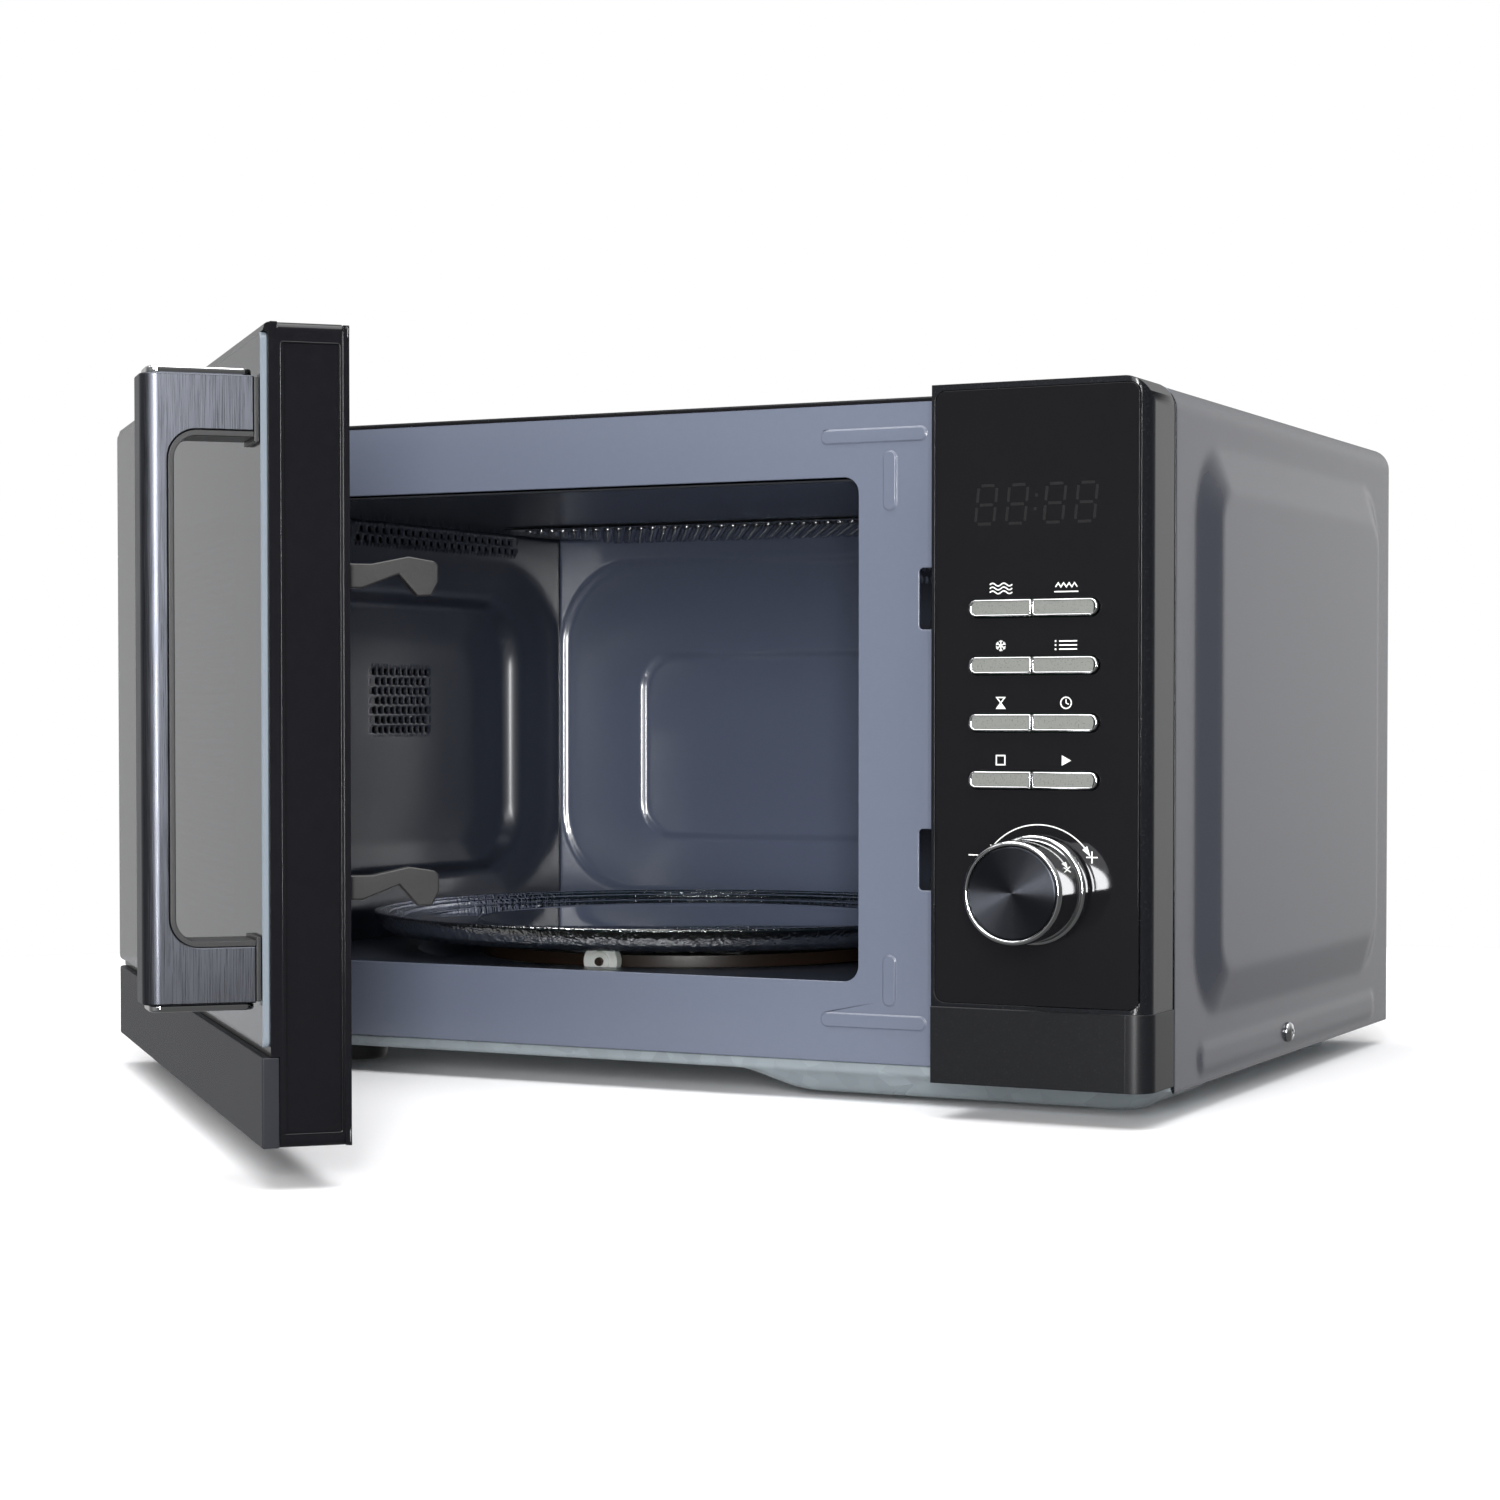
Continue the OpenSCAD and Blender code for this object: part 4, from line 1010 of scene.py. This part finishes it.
def mark_hourglass(ink):
    """An hourglass: the timer."""
    ink.line([(-1.5, -1.9), (1.5, 1.9), (-1.5, 1.9), (1.5, -1.9)], 0.4, True)
    ink.shape([(-0.9, -1.7), (0.9, -1.7), (0, -0.6)])


def mark_clock(ink):
    """A clock face with two hands."""
    ink.line(circle(1.95), 0.4, True)
    ink.line([(0, 1.3), (0, 0), (1.0, -0.5)], 0.36)


def mark_stop(ink):
    """A square: stop."""
    ink.line([(-1.6, -1.6), (1.6, -1.6), (1.6, 1.6), (-1.6, 1.6)], 0.45, True)


def mark_start(ink):
    """A triangle: start."""
    ink.shape([(-1.5, -1.8), (1.9, 0), (-1.5, 1.8)])


def mark_turning(ink):
    """An arc with an arrow at each end, a minus and a plus: which way the knob turns."""
    radius = 22.6
    ink.line([polar(0, 0, radius, 38 + 104 * k / 40) for k in range(41)], 0.4)
    for side, angle in ((1, 36), (-1, 144)):
        tip_x, tip_z = polar(0, 0, radius, angle)
        x, z = polar(0, 0, radius, angle + side * 5)
        dx, dz = polar(0, 0, 1.1, angle)
        ink.shape([(x + dx, z + dz), (x - dx, z - dz), (tip_x + side * 0.9, tip_z - 1.5)])
    ink.line([(-26.2, 11.6), (-22.6, 11.6)])
    ink.line([(17.6, 11.6), (21.8, 11.6)])
    ink.line([(19.7, 9.5), (19.7, 13.7)])


def make_panel_print():
    """Pictograms above the buttons, and the turning marks round the knob."""
    ink = Print(panel_front_y - 0.03)
    marks = [("button_1", mark_waves), ("button_2", mark_grill), ("button_3", mark_snow),
             ("button_4", mark_list), ("button_5", mark_hourglass), ("button_6", mark_clock),
             ("button_7", mark_stop), ("button_8", mark_start), ("knob_face", mark_turning)]
    for node, mark in marks:
        above = 0 if node == "knob_face" else 6.9
        ink.origin = (centre_of(node).x, centre_of(node).z + above)
        mark(ink)
    piece("panel_print", ink.points, ink.faces, "cabinet", "white_plastic")


def make_display():
    """Unlit seven-segment figures behind the glass, shown as faint marks on it."""
    ink = Print(panel_front_y - 0.02)
    low_x, high_x, low_z, high_z = 155.9, 201.5, 210.0, 223.4
    width, gap, colon_gap, lean, bar = 8.4, 3.0, 2.4, 0.10, 1.0
    starts = [low_x + lean * 2 + n * (width + gap) + (colon_gap if n > 1 else 0)
              for n in range(4)]
    scale = (high_x - low_x) / (4 * width + 3 * gap + colon_gap)
    middle = (low_z + high_z) / 2

    def at(x, z):
        return (low_x + (x - low_x) * scale + (z - low_z) * lean, z)

    for left in starts:
        right = left + width - 1.6
        for z in (low_z, middle, high_z):
            ink.line([at(left + 1.0, z), at(right - 1.0, z)], bar)
        for x in (left, right):
            for a, b in ((low_z, middle), (middle, high_z)):
                ink.line([at(x, a + 0.9), at(x, b - 0.9)], bar)
    colon = starts[1] + width + gap / 2 - 0.2
    for z in (middle - 2.4, middle + 2.4):
        ink.shape([at(colon + dx, z + dz) for dx, dz in ((0, 0), (1, 0), (1, 1), (0, 1))])
    piece("display_figures", ink.points, ink.faces, "cabinet", "dim_segments")


# ---- fasteners ----

def cross_recessed(points, faces, top):
    """Points and faces of a screw with a cross sunk into the top of its head."""
    body = in_scene("screw_blank", new_mesh("screw", points, faces))
    cross = in_scene("screw_cross", new_mesh("cross", [], []))
    bars = bmesh.new()
    bar_size = Matrix.Translation((0, 0, top)) @ Matrix.Diagonal((4.2, 0.85, 2.6, 1))
    for angle in (0, 90):
        bmesh.ops.create_cube(bars, size=1, matrix=turn(angle, "Z") @ bar_size)
    bars.to_mesh(cross.data)
    bars.free()
    configure(body.modifiers.new("cross", "BOOLEAN"), operation="DIFFERENCE", object=cross,
              solver="EXACT", use_self=True)
    ready = body.evaluated_get(bpy.context.evaluated_depsgraph_get())
    mesh = bpy.data.meshes.new_from_object(ready)
    shape = [v.co.copy() for v in mesh.vertices]
    skin = [list(p.vertices) for p in mesh.polygons]
    for o in (body, cross):
        bpy.data.objects.remove(o)
    return shape, skin


def make_screws():
    """Pan-head screws with a cross recess, at every place where the casing is fastened."""
    top = 2.3
    head = [(0, -6), (1.9, -6), (1.9, -0.05), (4.0, -0.05), (4.0, 0.7), (3.2, 1.75), (1.8, 2.2),
            (0, top)]
    shape, skin = cross_recessed(*lathe(rounded(head, 0.5, 3), 40), top)
    side_face = frame_half_width + 0.85
    back_face = span("casing_screws")[1].y - 2.0
    rear = [(-205, 248), (0, 248), (205, 248), (-205, 60), (205, 90)]
    places = [Matrix.Translation((s * side_face, 137.0, 19.0)) @ turn(90 * s, "Y")
              @ turn(20 + 30 * s, "Z") for s in (-1, 1)]
    places += [Matrix.Translation((x, back_face, z)) @ turn(-90, "X") @ turn(17 * n, "Z")
               for n, (x, z) in enumerate(rear)]
    screws = Group()
    for place in places:
        screws.add(turned(shape, place), skin)
    made = piece("screws", screws.points, screws.faces, "cabinet", "polished", ["casing_screws"])
    round_edges(made, 0.08, 40)


# ---- the CAD nodes that stay ----

DEFAULT_EDGE = 0.3
EDGE_WIDTHS = {
    "front_plate": 0.45, "panel_housing": 0.2, "door_frame": 0.08, "door_trim": 0.5,
    "handle_bar": 0.5, "handle_liner": 0.25, "handle_caps": 0.6, "latch_bar": 0.6,
    "roller_ring": 0.25, "rear_panel": 0.2, "cord_gland": 0.6, "turntable_coupler": 0.6,
}


def dress_cad_nodes():
    """Material and rounded edges for every CAD node that is shown."""
    slots = {part["node"]: part["material_slot"] for part in frame["record"]["subparts"]}
    for name, node in frame["nodes"].items():
        if node.hide_render:
            continue
        node.data.materials.clear()
        node.data.materials.append(MATERIALS[NODE_LOOKS.get(name, slots[name])])
        round_edges(node, EDGE_WIDTHS.get(name, DEFAULT_EDGE), weld=True)


# ---- studio: lengths here are metres ----

# Lit parts of the studio walls, seen from the oven: direction, sharpness and brightness
SKY = [
    ((0.0, 0.0, 1.0), 2, 0.9),
    ((0.25, 0.97, 0.12), 14, 0.95),
    ((-0.86, 0.50, 0.05), 4, 0.40),
    ((-0.38, -0.92, 0.0), 8, 0.20),
]
SKY_AMBIENT = 0.10
# Name, place, target, width and height, and watts of each lamp
LAMPS = [
    ("overhead", (0.1, -0.3, 1.8), (0, 0.1, 0.1), (2.0, 1.6), 45),
    ("fill", (0.35, -1.8, 0.7), (0.05, 0.1, 0.12), (0.9, 0.8), 10),
    ("strip", (0.78, -1.53, 0.32), (-0.1, 0.2, 0.12), (0.18, 0.7), 28),
    ("rim", (-1.0, -1.0, 1.2), (0.18, 0, 0.08), (0.4, 0.4), 2),
]


def softbox(name, place, target, size, power):
    light = configure(bpy.data.lights.new(name, "AREA"), shape="RECTANGLE", size=size[0],
                      size_y=size[1], energy=power)
    aim = (Vector(target) - Vector(place)).to_track_quat("-Z", "Y").to_euler()
    configure(in_scene(name, light), location=place, rotation_euler=aim)


def lobe(tree, towards, direction, sharpness, strength, total):
    """Adds a soft bright patch of sky to a running total."""
    def maths(operation, *values):
        return shader_node(tree, "ShaderNodeMath", dict(enumerate(values)), "Value",
                           operation=operation)

    inputs = {0: towards, 1: Vector(direction).normalized()}
    facing = shader_node(tree, "ShaderNodeVectorMath", inputs, "Value", operation="DOT_PRODUCT")
    raised = maths("POWER", maths("MAXIMUM", facing, 0.0), sharpness)
    return maths("MULTIPLY_ADD", raised, strength, total)


def make_floor():
    """Round sheet of pale paper under the oven; glossy surfaces don't mirror it."""
    rim = [(*polar(0.3, -0.3, 1.15, a), 0) for a in range(0, 360, 3)]
    floor = new_mesh("floor", rim, [range(len(rim))])
    paper = material("floor_paper", (0.92, 0.92, 0.93), 0.9, vary=0.01, grain_depth=0.0)
    floor.materials.append(paper)
    ground = in_scene("floor", floor)
    ground.visible_glossy = False


def make_sky():
    """White backdrop for the camera; the studio walls light everything else."""
    world = bpy.data.worlds.new("studio")
    scene.world = world
    world.use_nodes = True
    tree = world.node_tree
    background = tree.nodes["Background"]
    background.inputs["Color"].default_value = (1, 1, 1, 1)
    towards = shader_node(tree, "ShaderNodeTexCoord", {}, "Generated")
    total = SKY_AMBIENT
    for direction, sharpness, strength in SKY:
        total = lobe(tree, towards, direction, sharpness, strength, total)
    seen = shader_node(tree, "ShaderNodeLightPath", {}, "Is Camera Ray")
    strength = shader_node(tree, "ShaderNodeMix", {"Factor": seen, "A": total, "B": 1.0},
                           "Result", data_type="FLOAT")
    tree.links.new(strength, background.inputs["Strength"])


def make_camera():
    """Camera in front and to the right of the oven, a little above its middle."""
    lens = configure(bpy.data.cameras.new("camera"), sensor_width=36, lens=72.28,
                     shift_y=0.02895, clip_start=0.01)
    made = in_scene("camera", lens)
    made.location = (0.55644, -1.0119, 0.14274)
    made.rotation_euler = (math.radians(90 - 1.4675), 0, math.radians(26.432))
    scene.camera = made


frame_half_width = span("front_plate")[1].x + 1.5
panel_front_y = span("panel_glass")[0].y

for make in (make_camera, make_casing, make_painted_shadow_hem, make_base_pan, make_feet,
             make_left_wall, make_rear_wall, make_grill_guard, make_door_screen, make_door_glass,
             make_door_lip, make_edge_rim, make_tray, make_knob, make_button_rims,
             make_panel_print, make_display, make_screws, dress_cad_nodes, make_floor, make_sky):
    make()
for lamp in LAMPS:
    softbox(*lamp)
scene.view_settings.view_transform = "Standard"
